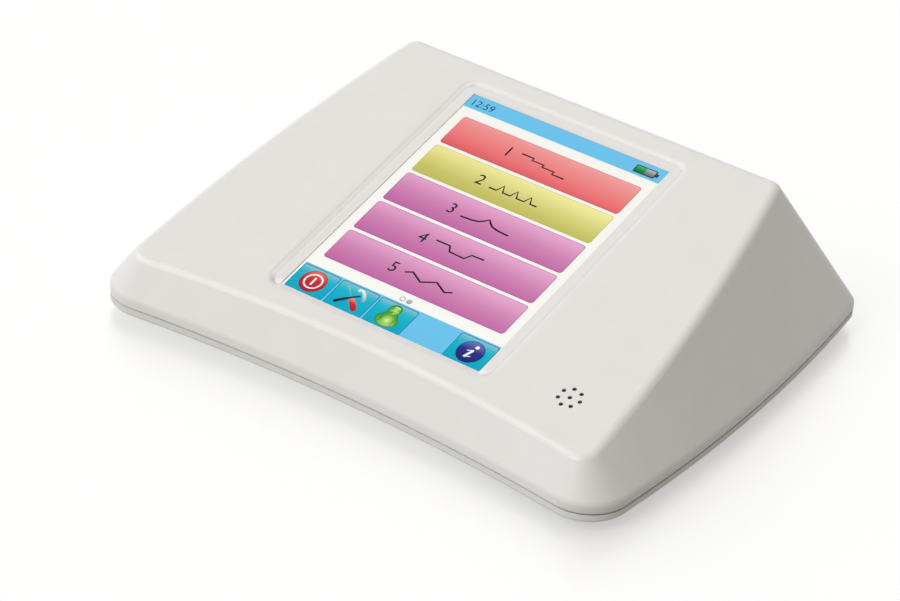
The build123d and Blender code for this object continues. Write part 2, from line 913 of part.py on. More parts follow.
# Socket panel in the rear niche
with BuildPart() as rear_panel:
    with BuildSketch(facing_back(0, panel_back, (tray_top + niche_top) / 2)):
        Rectangle(2 * niche_half - slip, niche_top - tray_top - slip)
    extrude(amount=panel_thickness)
    fillet(rear_panel.edges().filter_by(Axis.Y), radius=panel_corner)
    for x, z, radius in (
        (nozzle_x, socket_z, nozzle_barrel),
        (probe_x, socket_z, probe_barrel),
        (jack_places[0], socket_z, jack_barrel),
        (jack_places[1], socket_z, jack_barrel),
        (power_x, socket_z, power_snout),
        (button_x, socket_z, button_radius + slip - seat),
        (-panel_screw_x, socket_z, small_screw_radius),
        (panel_screw_x, socket_z, small_screw_radius),
    ):
        extrude(
            rounds(facing_back(x, panel_back, z), radius + seat), amount=panel_thickness, mode=Mode.SUBTRACT
        )
    extrude(
        blocks(facing_back(data_x, panel_back, data_z), data_width + slip, data_height + slip),
        amount=panel_thickness,
        mode=Mode.SUBTRACT,
    )
finish(rear_panel, "rear_panel")

with BuildPart() as panel_screws:
    for x in (-panel_screw_x, panel_screw_x):
        extrude(rounds(facing_back(x, panel_face, socket_z), small_head_radius), amount=small_head_height)
        extrude(
            rounds(facing_back(x, panel_face, socket_z), small_screw_radius - seat),
            amount=-panel_thickness - panel_ledge,
        )
        extrude(
            crosses(facing_back(x, panel_face + small_head_height, socket_z)),
            amount=-cross_depth,
            mode=Mode.SUBTRACT,
        )
finish(panel_screws, "panel_screws")

# Air nozzle: barrel through the panel, barb inside, spout outside, and its nut
with BuildPart() as air_nozzle:
    extrude(
        rounds(facing_back(nozzle_x, panel_face, pump_z), nozzle_flange), amount=nozzle_flange_thickness
    )
    extrude(
        rounds(facing_back(nozzle_x, panel_face + nozzle_flange_thickness, pump_z), barb_radius),
        amount=nozzle_spout,
    )
    extrude(rounds(facing_back(nozzle_x, panel_face, pump_z), nozzle_barrel), amount=-nozzle_barrel_length)
    extrude(
        rounds(facing_back(nozzle_x, panel_face - nozzle_barrel_length, pump_z), barb_radius),
        amount=-barb_length,
    )
    extrude(
        rounds(facing_back(nozzle_x, 0, pump_z), barb_bore), amount=rear_edge, mode=Mode.SUBTRACT
    )
finish(air_nozzle, "air_nozzle")

with BuildPart() as nozzle_nut:
    with BuildSketch(facing_back(nozzle_x, panel_back, pump_z)):
        RegularPolygon(radius=nozzle_nut_radius, side_count=nut_sides, major_radius=False)
        Circle(nozzle_barrel + seat, mode=Mode.SUBTRACT)
    extrude(amount=-nozzle_nut_thickness)
finish(nozzle_nut, "nozzle_nut")

# Probe socket: metal sleeve with a stepped bore, contact block and nut
probe_block_face = panel_face + probe_ring_thickness - probe_bore_depth - slip
with BuildPart() as probe_socket:
    extrude(rounds(facing_back(probe_x, panel_face, socket_z), probe_ring), amount=probe_ring_thickness)
    chamfer(probe_socket.faces().sort_by(Axis.Y)[-1].edges(), length=probe_chamfer)
    extrude(rounds(facing_back(probe_x, panel_face, socket_z), probe_barrel), amount=-probe_barrel_length)
    extrude(
        rounds(facing_back(probe_x, panel_face + probe_ring_thickness, socket_z), probe_bore),
        amount=-probe_bore_depth,
        mode=Mode.SUBTRACT,
    )
    extrude(
        rounds(facing_back(probe_x, probe_block_face, socket_z), probe_block_radius),
        amount=-probe_block_length,
        mode=Mode.SUBTRACT,
    )
    extrude(
        rounds(facing_back(probe_x, probe_block_face, socket_z), probe_block_radius),
        amount=slip,
        mode=Mode.SUBTRACT,
    )
finish(probe_socket, "probe_socket")

with BuildPart() as probe_contacts:
    extrude(
        rounds(facing_back(probe_x, probe_block_face, socket_z), probe_block_radius - seat),
        amount=-probe_block_length,
    )
    with BuildSketch(facing_back(probe_x, probe_block_face, socket_z)):
        with PolarLocations(contact_ring, contact_count):
            Circle(contact_radius)
    extrude(amount=-contact_depth, mode=Mode.SUBTRACT)
finish(probe_contacts, "probe_contacts")

with BuildPart() as probe_nut:
    with BuildSketch(facing_back(probe_x, panel_back, socket_z)):
        RegularPolygon(radius=probe_nut_radius, side_count=nut_sides, major_radius=False)
        Circle(probe_barrel + seat, mode=Mode.SUBTRACT)
    extrude(amount=-probe_nut_thickness)
finish(probe_nut, "probe_nut")

# Socket board and what stands on it: two earphone jacks, data socket, power socket, power switch
with BuildPart() as socket_board:
    extrude(
        blocks(level(socket_board_z), *socket_board_size, [socket_board_middle]), amount=board_thickness
    )
    extrude(
        rounds(level(socket_board_z), small_screw_radius + seat, socket_board_places),
        amount=board_thickness,
        mode=Mode.SUBTRACT,
    )
finish(socket_board, "socket_board")

socket_board_top = socket_board_z + board_thickness
socket_body_height = 2 * (socket_z - socket_board_top)
with BuildPart() as earphone_jacks:
    for x in jack_places:
        extrude(
            blocks(facing_back(x, panel_back - seat, socket_z), jack_width, socket_body_height),
            amount=-jack_length,
        )
        extrude(
            rounds(facing_back(x, panel_back - 2 * seat, socket_z), jack_barrel), amount=jack_barrel_length
        )
        extrude(
            rounds(facing_back(x, panel_back - jack_bore_depth, socket_z), jack_bore),
            amount=jack_bore_depth + jack_barrel_length,
            mode=Mode.SUBTRACT,
        )
finish(earphone_jacks, "earphone_jacks")

with BuildPart() as jack_nuts:
    for x in jack_places:
        with BuildSketch(facing_back(x, panel_face, socket_z)):
            Circle(jack_nut_radius)
            Circle(jack_barrel + seat, mode=Mode.SUBTRACT)
        extrude(amount=jack_nut_thickness)
finish(jack_nuts, "jack_nuts")

data_face = panel_face - slip
with BuildPart() as data_socket:
    extrude(blocks(facing_back(data_x, data_face, data_z), data_width, data_height), amount=-data_length)
    fillet(data_socket.edges().filter_by(Axis.Y), radius=data_round)
    extrude(
        blocks(
            facing_back(data_x, data_face, data_z), data_width - 2 * data_wall, data_height - 2 * data_wall
        ),
        amount=-data_bore_depth,
        mode=Mode.SUBTRACT,
    )
    extrude(
        blocks(
            facing_back(data_x, data_face - data_bore_depth, data_z), data_tongue_width, data_tongue_height
        ),
        amount=data_bore_depth - data_wall,
    )
finish(data_socket, "data_socket")

with BuildPart() as power_socket:
    extrude(
        blocks(facing_back(power_x, panel_back - seat, socket_z), power_width, socket_body_height),
        amount=-power_length,
    )
    extrude(
        rounds(facing_back(power_x, panel_back - 2 * seat, socket_z), power_snout), amount=panel_thickness
    )
    extrude(
        rounds(facing_back(power_x, panel_face, socket_z), power_bore),
        amount=-power_depth,
        mode=Mode.SUBTRACT,
    )
    extrude(
        rounds(facing_back(power_x, panel_face - power_depth, socket_z), power_pin),
        amount=power_depth - power_pin,
    )
finish(power_socket, "power_socket")

with BuildPart() as power_switch:
    extrude(
        blocks(facing_back(button_x, switch_face, socket_z), switch_width, socket_body_height),
        amount=-switch_length,
    )
finish(power_switch, "power_switch")

button_plane = facing_back(button_x, panel_back - slip, socket_z)
with BuildPart() as power_button:
    extrude(rounds(button_plane, button_radius), amount=panel_thickness + slip + button_proud)
    fillet(power_button.faces().sort_by(Axis.Y)[-1].edges(), radius=button_round)
    extrude(rounds(button_plane, button_flange), amount=-button_flange_thickness)
    extrude(
        rounds(button_plane, button_stem), amount=switch_face + button_travel + 2 * slip - panel_back
    )
finish(power_button, "power_button")

with BuildPart() as socket_board_screws:
    extrude(
        rounds(level(socket_board_top), small_head_radius, socket_board_places), amount=small_head_height
    )
    extrude(
        rounds(level(socket_board_top), small_screw_radius - seat, socket_board_places),
        amount=-small_screw_length,
    )
finish(socket_board_screws, "socket_board_screws")

# Air pump: cradle, motor and gearbox, coupler, lead screw, carriage and piston, cylinder, head
plate_height = pump_z + plate_half - cradle_z
with BuildPart() as pump_frame:
    with BuildSketch(level(cradle_z)):
        with Locations((pump_x, (motor_plate_y + cylinder_end) / 2)):
            Rectangle(2 * plate_half, cylinder_end - motor_plate_y - seat)
    extrude(amount=cradle_thickness)
    for start in (motor_plate_y, cylinder_plate_y):
        extrude(
            blocks(level(cradle_z), 2 * plate_half, plate_thickness, [(pump_x, start + plate_thickness / 2)]),
            amount=plate_height,
        )
    fillet(pump_frame.edges().filter_by(Axis.Y).group_by(Axis.Z)[-1], radius=plate_round)
    extrude(
        rounds(facing_back(pump_x, motor_plate_y, pump_z), shaft_hole),
        amount=plate_thickness,
        mode=Mode.SUBTRACT,
    )
    extrude(
        rounds(facing_back(pump_x, cylinder_plate_y, pump_z), piston_rod_radius + slip),
        amount=plate_thickness,
        mode=Mode.SUBTRACT,
    )
    guide_places = [(-guide_x, 0), (guide_x, 0)]
    extrude(
        rounds(facing_back(pump_x, motor_plate_end - guide_seat, pump_z), guide_radius + seat, guide_places),
        amount=guide_length,
        mode=Mode.SUBTRACT,
    )
    extrude(
        rounds(facing_back(pump_x, cylinder_plate_y, pump_z), tie_radius + seat, tie_places),
        amount=plate_thickness,
        mode=Mode.SUBTRACT,
    )
    extrude(
        rounds(level(cradle_z), small_screw_radius + seat, cradle_places),
        amount=cradle_thickness,
        mode=Mode.SUBTRACT,
    )
finish(pump_frame, "pump_frame")

with BuildPart() as cradle_screws:
    extrude(
        rounds(level(cradle_z + cradle_thickness), cradle_head_radius, cradle_places),
        amount=cradle_head_height,
    )
    extrude(
        rounds(level(cradle_z + cradle_thickness), small_screw_radius - seat, cradle_places),
        amount=-small_screw_length,
    )
finish(cradle_screws, "cradle_screws")

gearbox_start = motor_plate_y - gearbox_length
with BuildPart() as pump_motor:
    extrude(rounds(facing_back(pump_x, gearbox_start, pump_z), motor_radius), amount=-motor_length)
    chamfer(pump_motor.faces().sort_by(Axis.Y)[0].edges(), length=motor_chamfer)
    extrude(
        rounds(facing_back(pump_x, gearbox_start - motor_length, pump_z), motor_boss),
        amount=-motor_boss_length,
    )
finish(pump_motor, "pump_motor")

with BuildPart() as pump_gearbox:
    with BuildSketch(facing_back(pump_x, motor_plate_y, pump_z)):
        RectangleRounded(gearbox_width, gearbox_width, gearbox_corner)
        Circle(rod_radius + running, mode=Mode.SUBTRACT)
    extrude(amount=-gearbox_length)
finish(pump_gearbox, "pump_gearbox")

coupler_start = motor_plate_end + slip
with BuildPart() as lead_screw:
    extrude(
        rounds(facing_back(pump_x, gearbox_start + slip, pump_z), rod_radius),
        amount=screw_tip - gearbox_start - slip,
    )
    chamfer(lead_screw.faces().sort_by(Axis.Y)[-1].edges(), length=screw_point)
finish(lead_screw, "lead_screw")

with BuildPart() as screw_coupler:
    with BuildSketch(facing_back(pump_x, coupler_start, pump_z)):
        Circle(coupler_radius)
        Circle(rod_radius + seat / 2, mode=Mode.SUBTRACT)
    extrude(amount=coupler_length)
    extrude(
        rounds(Plane(origin=(pump_x, coupler_start + coupler_length / 2, pump_z)), set_screw_radius),
        amount=coupler_radius,
        mode=Mode.SUBTRACT,
    )
finish(screw_coupler, "screw_coupler")

with BuildPart() as guide_rods:
    extrude(
        rounds(facing_back(pump_x, motor_plate_end - guide_seat, pump_z), guide_radius, guide_places),
        amount=guide_length,
    )
finish(guide_rods, "guide_rods")

carriage_start = cylinder_plate_y - carriage_gap - carriage_length - stroke
carriage_end = carriage_start + carriage_length
with BuildPart() as carriage:
    with BuildSketch(facing_back(pump_x, carriage_start, pump_z)):
        RectangleRounded(carriage_width, carriage_height, carriage_corner)
        Circle(rod_radius + running, mode=Mode.SUBTRACT)
        with Locations(*guide_places):
            Circle(guide_radius + running, mode=Mode.SUBTRACT)
    extrude(amount=carriage_length)
finish(carriage, "carriage")

piston_end = cylinder_end - piston_gap - stroke
piston_start = piston_end - piston_length
groove_middle = (piston_start + piston_end) / 2
with BuildPart() as piston:
    extrude(
        rounds(facing_back(pump_x, carriage_end, pump_z), piston_rod_radius),
        amount=piston_start - carriage_end,
    )
    extrude(rounds(facing_back(pump_x, piston_start, pump_z), piston_radius), amount=piston_length)
    with BuildSketch(facing_back(pump_x, groove_middle - seal_radius - seat, pump_z)):
        Circle(piston_radius + slip)
        Circle(groove_radius, mode=Mode.SUBTRACT)
    extrude(amount=2 * (seal_radius + seat), mode=Mode.SUBTRACT)
    extrude(
        rounds(facing_back(pump_x, carriage_end, pump_z), rod_radius + slip),
        amount=screw_tip + stroke + slip - carriage_end,
        mode=Mode.SUBTRACT,
    )
finish(piston, "piston")

with BuildPart() as piston_seal:
    with BuildSketch(Plane(origin=(pump_x, groove_middle, pump_z), x_dir=(1, 0, 0), z_dir=(0, 0, 1))):
        with Locations((groove_radius + seal_radius + seat, 0)):
            RegularPolygon(radius=seal_radius, side_count=seal_sides)
    revolve(axis=Axis((pump_x, groove_middle, pump_z), (0, 1, 0)))
finish(piston_seal, "piston_seal")

with BuildPart() as pump_cylinder:
    with BuildSketch(facing_back(pump_x, cylinder_start, pump_z)):
        Circle(cylinder_radius)
        Circle(bore_radius, mode=Mode.SUBTRACT)
    extrude(amount=cylinder_length)
finish(pump_cylinder, "pump_cylinder")

head_middle = cylinder_end + head_length / 2
sensor_port_plane = facing_right(pump_x + head_width / 2, head_middle, sensor_port_z)
with BuildPart() as pump_head:
    with BuildSketch(facing_back(pump_x, cylinder_end, pump_z)):
        RectangleRounded(head_width, head_width, head_corner)
    extrude(amount=head_length)
    extrude(
        rounds(facing_back(pump_x, cylinder_end + head_length, pump_z), barb_radius), amount=barb_length
    )
    extrude(rounds(sensor_port_plane, port_radius), amount=port_length)
    extrude(
        rounds(facing_back(pump_x, cylinder_end, pump_z), barb_bore),
        amount=head_length + barb_length,
        mode=Mode.SUBTRACT,
    )
    extrude(rounds(sensor_port_plane, port_bore), amount=port_length, mode=Mode.SUBTRACT)
    extrude(rounds(sensor_port_plane, port_bore), amount=-head_width / 2, mode=Mode.SUBTRACT)
    extrude(
        rounds(Plane(origin=(pump_x, head_middle, sensor_port_z)), port_bore),
        amount=head_width,
        mode=Mode.SUBTRACT,
    )
    extrude(
        rounds(facing_back(pump_x, cylinder_end, pump_z), tie_radius + seat, tie_places),
        amount=head_length,
        mode=Mode.SUBTRACT,
    )
finish(pump_head, "pump_head")

with BuildPart() as tie_rods:
    extrude(
        rounds(facing_back(pump_x, cylinder_plate_y, pump_z), tie_radius, tie_places),
        amount=cylinder_end + head_length - cylinder_plate_y,
    )
    extrude(
        rounds(facing_back(pump_x, cylinder_end + head_length, pump_z), tie_head_radius, tie_places),
        amount=small_head_height,
    )
finish(tie_rods, "tie_rods")

# Bleed valve on the pump head: coil body, plunger and the spring that lifts it
valve_z = pump_z + head_width / 2
valve_top = valve_z + valve_height
with BuildPart() as valve_body:
    extrude(
        blocks(level(valve_z), 2 * valve_radius, 2 * valve_radius, [(pump_x, head_middle)]),
        amount=valve_flange,
    )
    extrude(rounds(level(valve_z), valve_radius, [(pump_x, head_middle)]), amount=valve_height)
    extrude(
        blocks(level(valve_top), 2 * valve_radius, 2 * valve_radius, [(pump_x, head_middle)]),
        amount=-valve_flange,
    )
    extrude(
        rounds(level(valve_z + valve_seat), plunger_radius + running, [(pump_x, head_middle)]),
        amount=valve_height,
        mode=Mode.SUBTRACT,
    )
    extrude(rounds(level(valve_z), port_bore, [(pump_x, head_middle)]), amount=valve_seat, mode=Mode.SUBTRACT)
finish(valve_body, "valve_body")

with BuildPart() as valve_plunger:
    extrude(
        rounds(level(valve_z + valve_seat + valve_travel + slip), plunger_radius, [(pump_x, head_middle)]),
        amount=valve_top + spring_height - valve_z - valve_seat - valve_travel - slip,
    )
    extrude(
        rounds(level(valve_top + spring_height), plunger_cap_radius, [(pump_x, head_middle)]),
        amount=plunger_cap,
    )
    fillet(valve_plunger.faces().sort_by(Axis.Z)[-1].edges(), radius=screw_point)
finish(valve_plunger, "valve_plunger")

spring_pitch = (spring_height - 2 * spring_wire - 2 * seat) / spring_turns
with BuildPart() as valve_spring:
    with BuildLine(Plane(origin=(pump_x, head_middle, valve_top + spring_wire + seat))) as spring_line:
        Helix(pitch=spring_pitch, height=spring_pitch * spring_turns, radius=spring_radius)
    with BuildSketch(Plane(origin=spring_line.line @ 0, z_dir=spring_line.line % 0)):
        RegularPolygon(radius=spring_wire, side_count=wire_sides)
    sweep()
finish(valve_spring, "valve_spring")

# Pressure sensor on the main board and the two silicone tubes
with BuildPart() as pressure_sensor:
    extrude(blocks(level(board_top), sensor_width, sensor_depth, [sensor_place]), amount=sensor_height)
    fillet(pressure_sensor.edges().filter_by(Axis.Z), radius=glass_corner)
    extrude(
        rounds(facing_back(sensor_place[0], sensor_place[1] + sensor_depth / 2, sensor_port_z), port_radius),
        amount=port_length,
    )
finish(pressure_sensor, "pressure_sensor")

port_end = pump_x + head_width / 2
sensor_port_end = sensor_place[1] + sensor_depth / 2
with BuildPart() as sensor_tube:
    with BuildLine():
        FilletPolyline(
            (port_end + slip, head_middle, sensor_port_z),
            (sensor_place[0], head_middle, sensor_port_z),
            (sensor_place[0], sensor_port_end + slip, sensor_port_z),
            radius=sensor_tube_bend,
        )
    with BuildSketch(facing_right(port_end + slip, head_middle, sensor_port_z)):
        Circle(port_radius + seat + sensor_tube_wall)
        Circle(port_radius + seat, mode=Mode.SUBTRACT)
    sweep()
finish(sensor_tube, "sensor_tube")

tube_start = cylinder_end + head_length + slip
tube_end = panel_face - nozzle_barrel_length - slip
with BuildPart() as nozzle_tube:
    with BuildSketch(facing_back(pump_x, tube_start, pump_z)):
        Circle(barb_radius + seat + nozzle_tube_wall)
        Circle(barb_radius + seat, mode=Mode.SUBTRACT)
    extrude(amount=tube_end - tube_start)
finish(nozzle_tube, "nozzle_tube")
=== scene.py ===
import logging
from dataclasses import dataclass
from enum import Enum
from math import cos, pi, radians, sin
from typing import Any, Iterator, Optional, Sequence, Union

import bmesh
import bpy
from mathutils import Matrix, Vector


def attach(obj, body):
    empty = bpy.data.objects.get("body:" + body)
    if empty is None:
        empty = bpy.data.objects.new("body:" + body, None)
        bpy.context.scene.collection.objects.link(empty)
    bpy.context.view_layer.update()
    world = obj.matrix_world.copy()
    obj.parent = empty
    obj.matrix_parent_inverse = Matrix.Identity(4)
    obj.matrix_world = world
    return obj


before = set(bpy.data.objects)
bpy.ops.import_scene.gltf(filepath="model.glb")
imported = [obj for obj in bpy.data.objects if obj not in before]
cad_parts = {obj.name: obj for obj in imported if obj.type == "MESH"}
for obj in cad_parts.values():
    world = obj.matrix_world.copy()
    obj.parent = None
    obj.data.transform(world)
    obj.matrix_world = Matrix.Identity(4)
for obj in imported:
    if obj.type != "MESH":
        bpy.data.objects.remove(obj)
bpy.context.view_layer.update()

LOG = logging.getLogger("tympanometer")
MM = 0.001
HOUSING = "housing"
SLOPE = radians(16.0)
TOP_MIDDLE = Vector((0.0, -11.0, 45.0))
ALONG = Vector((1.0, 0.0, 0.0))
UPHILL = Vector((0.0, cos(SLOPE), sin(SLOPE)))
OUTWARD = Vector((0.0, -sin(SLOPE), cos(SLOPE)))

Rgb = tuple[float, float, float]
Point = tuple[float, float, float]
Pair = tuple[float, float]
Box = tuple[float, float, float, float]
Shade = tuple[int, int, int]
Value = Union["Wire", float]
Shape = bmesh.types.BMesh
FULL: Rgb = (1.0, 1.0, 1.0)


def paint(red: int, green: int, blue: int) -> Rgb:
    """Linear colour for one as it looks on a display, with its parts from 0 to 255."""
    return tuple(((part / 255 + 0.055) / 1.055) ** 2.4 for part in (red, green, blue))


def scaled(colour: Rgb, factor: float) -> Rgb:
    """A colour made darker or lighter, up to white."""
    return tuple(min(part * factor, 1.0) for part in colour)


class Axis(Enum):
    """The frame's axis that a pattern runs along or round."""

    X = 0
    Y = 1
    Z = 2


class Wire:
    """A shader output that takes part in arithmetic."""

    def __init__(self, graph: "Graph", socket: bpy.types.NodeSocket) -> None:
        """Keeps the socket and the graph that it belongs to."""
        self.graph = graph
        self.socket = socket

    def __add__(self, other: Value) -> "Wire":
        """Sum."""
        return self.graph.math("ADD", self, other)

    __radd__ = __add__

    def __sub__(self, other: Value) -> "Wire":
        """Difference."""
        return self.graph.math("SUBTRACT", self, other)

    def __rsub__(self, other: Value) -> "Wire":
        """Difference from a number."""
        return self.graph.math("SUBTRACT", other, self)

    def __mul__(self, other: Value) -> "Wire":
        """Product."""
        return self.graph.math("MULTIPLY", self, other)

    __rmul__ = __mul__

    def __truediv__(self, other: Value) -> "Wire":
        """Quotient."""
        return self.graph.math("DIVIDE", self, other)

    def __pow__(self, other: Value) -> "Wire":
        """Power."""
        return self.graph.math("POWER", self, other)

    def __abs__(self) -> "Wire":
        """Size without sign."""
        return self.graph.math("ABSOLUTE", self, 0.0)

    def wave(self) -> "Wire":
        """Sine of an angle in radians."""
        return self.graph.math("SINE", self, 0.0)

    def larger(self, other: Value) -> "Wire":
        """The larger of two values."""
        return self.graph.math("MAXIMUM", self, other)

    def rise(self, start: float, end: float) -> "Wire":
        """Goes smoothly from 0 at start to 1 at end."""
        step = {"Value": self, "From Min": start, "From Max": end}
        return self.graph.out("ShaderNodeMapRange", "Result", {"interpolation_type": "SMOOTHSTEP"}, step)

    def fall(self, start: float, end: float) -> "Wire":
        """Goes smoothly from 1 at start to 0 at end."""
        return 1 - self.rise(start, end)


class Graph:
    """Nodes of one material or of the world."""

    NOISE_ROUGHNESS = 0.55

    def __init__(self, owner: Union[bpy.types.Material, bpy.types.World]) -> None:
        """Clears the nodes of the material or world that they belong to.

        Args:
            owner: The material or world.
        """
        owner.use_nodes = True
        self.owner = owner
        self.tree = owner.node_tree
        self.tree.nodes.clear()

    def node(self, kind: str, settings: dict[str, Any], inputs: dict[Any, Any]) -> bpy.types.Node:
        """Makes one node.

        Args:
            kind: The node's type.
            settings: Its settings, with a ramp's stops under "stops".
            inputs: Values or wires by socket name or number.

        Returns:
            The node.
        """
        made = self.tree.nodes.new(kind)
        for name, value in settings.items():
            if name == "stops":
                ramp = made.color_ramp.elements
                while len(ramp) < len(value):
                    ramp.new(0.5)
                for element, (position, colour) in zip(ramp, value):
                    element.position = position
                    element.color = (*colour, 1.0)
            else:
                setattr(made, name, value)
        for key, value in inputs.items():
            if isinstance(value, Wire):
                self.tree.links.new(value.socket, made.inputs[key])
            elif isinstance(value, tuple) and made.inputs[key].type == "RGBA":
                made.inputs[key].default_value = (*value, 1.0)
            else:
                made.inputs[key].default_value = value
        return made

    def out(
        self, kind: str, output: Union[str, int], settings: dict[str, Any], inputs: dict[Any, Any]
    ) -> Wire:
        """Makes one node as node does, and returns its named or numbered output."""
        return Wire(self, self.node(kind, settings, inputs).outputs[output])

    def math(self, operation: str, first: Value, second: Value) -> Wire:
        """Result of a Math node's operation on two values."""
        return self.out("ShaderNodeMath", 0, {"operation": operation}, {0: first, 1: second})

    def mix(self, factor: Value, first: Union[Wire, Rgb], second: Union[Wire, Rgb]) -> Wire:
        """Mixes two colours, with factor 0 for the first and 1 for the second."""
        return self.out("ShaderNodeMix", 2, {"data_type": "RGBA"}, {0: factor, 6: first, 7: second})

    def join(self, factor: Value, first: Wire, second: Wire) -> Wire:
        """Mixes two shaders, with factor 0 for the first and 1 for the second."""
        return self.out("ShaderNodeMixShader", 0, {}, {0: factor, 1: first, 2: second})

    def place(self) -> Wire:
        """Point on the piece, in metres."""
        return self.out("ShaderNodeTexCoord", "Object", {}, {})

    def noise(self, size: float, detail: float = 2.0, at: Optional[Wire] = None) -> Wire:
        """Cloudy noise from 0 to 1 with blobs of a size in mm, at the piece's own point by default."""
        look = {"Scale": 1 / (size * MM), "Detail": detail, "Roughness": self.NOISE_ROUGHNESS}
        return self.out("ShaderNodeTexNoise", 0, {}, {"Vector": at or self.place(), **look})

    def cells(self, size: float, randomness: float = 1.0, distance: str = "EUCLIDEAN") -> Wire:
        """Distance from the middles of scattered cells, as a share of their size, which is in mm."""
        look = {"Vector": self.place(), "Scale": 1 / (size * MM), "Randomness": randomness}
        return self.out("ShaderNodeTexVoronoi", 0, {"distance": distance}, look)

    def part(self, vector: Wire, axis: Axis) -> Wire:
        """One part of a vector."""
        return self.out("ShaderNodeSeparateXYZ", axis.value, {}, {0: vector})

    def coordinate(self, axis: Axis) -> Wire:
        """Place along one axis of the frame, in mm."""
        return self.part(self.place(), axis) / MM

    def along(self, direction: Vector) -> Wire:
        """Place along a direction from the middle of the sloping top, in mm."""
        return self.dot(self.place(), direction) / MM - TOP_MIDDLE.dot(direction)

    def dot(self, vector: Wire, axis: Vector) -> Wire:
        """Length of a vector along a fixed axis."""
        return self.out(
            "ShaderNodeVectorMath", "Value", {"operation": "DOT_PRODUCT"}, {0: vector, 1: tuple(axis)}
        )

    def distance(self, vector: Wire, point: Point) -> Wire:
        """Distance of a vector from a fixed point."""
        return self.out("ShaderNodeVectorMath", "Value", {"operation": "DISTANCE"}, {0: vector, 1: point})

    def bump(self, height: Wire, depth: float, normal: Optional[Wire] = None) -> Wire:
        """Normal for a relief.

        Args:
            height: Relief from 0 to 1.
            depth: Its depth, in mm.
            normal: Normal under the relief, the surface's own by default.

        Returns:
            The bent normal.
        """
        inputs = {"Height": height, "Distance": depth * MM, "Strength": 1.0}
        if normal is not None:
            inputs["Normal"] = normal
        return self.out("ShaderNodeBump", 0, {}, inputs)

    def ray(self, *kinds: str) -> Wire:
        """Mask of the named kinds of ray.

        Args:
            kinds: Names such as Camera or Glossy.

        Returns:
            1 for these rays and 0 for others.
        """
        path = self.node("ShaderNodeLightPath", {}, {})
        found = Wire(self, path.outputs[f"Is {kinds[0]} Ray"])
        for kind in kinds[1:]:
            found = found.larger(Wire(self, path.outputs[f"Is {kind} Ray"]))
        return found

    def close(self, shader: Wire) -> bpy.types.Material:
        """Joins a shader to the output and returns the material."""
        self.node("ShaderNodeOutputMaterial", {}, {"Surface": shader})
        return self.owner


@dataclass(frozen=True)
class Surface:
    """Look of a piece, which becomes the material of its name."""

    name: str

    def shader(self, graph: Graph) -> Wire:
        """Shader of the surface."""
        raise NotImplementedError

    def material(self) -> bpy.types.Material:
        """Makes the material, or returns it if it is made already.

        Returns:
            The material.
        """
        made = bpy.data.materials.get(self.name)
        if made is None:
            graph = Graph(bpy.data.materials.new(self.name))
            made = graph.close(self.shader(graph))
        return made


@dataclass(frozen=True)
class Finish(Surface):
    """Surface with mottled colour, uneven gloss and a fine grain. Sizes are in mm."""

    colour: Rgb
    roughness: float
    metallic: float = 0.0
    mottle: float = 0.05
    mottle_size: float = 14.0
    grain_size: float = 0.35
    grain_depth: float = 0.012
    gloss_spread: float = 0.08
    mottle_edge: Pair = (0.25, 0.75)

    def tint(self, graph: Graph) -> Wire:
        """Colour over the surface."""
        cloud = graph.noise(self.mottle_size, 3.0).rise(*self.mottle_edge)
        return graph.mix(cloud, scaled(self.colour, 1 - self.mottle), scaled(self.colour, 1 + self.mottle))

    def relief(self, graph: Graph) -> Wire:
        """Height over the surface, from 0 to 1."""
        return graph.noise(self.grain_size, 2.0)

    def gloss(self, graph: Graph) -> Wire:
        """Roughness over the surface."""
        cloud = graph.noise(self.mottle_size / 3, 3.0)
        return cloud * self.gloss_spread + (self.roughness - self.gloss_spread / 2)

    def under(self, graph: Graph) -> Optional[Wire]:
        """Normal under the relief, or nothing for the surface's own."""
        return None

    def shader(self, graph: Graph) -> Wire:
        """Shader of the surface.

        Args:
            graph: The nodes.

        Returns:
            The shader.
        """
        return graph.out(
            "ShaderNodeBsdfPrincipled", 0, {},
            {
                "Base Color": self.tint(graph),
                "Roughness": self.gloss(graph),
                "Metallic": self.metallic,
                "Normal": graph.bump(self.relief(graph), self.grain_depth, self.under(graph)),
            },
        )


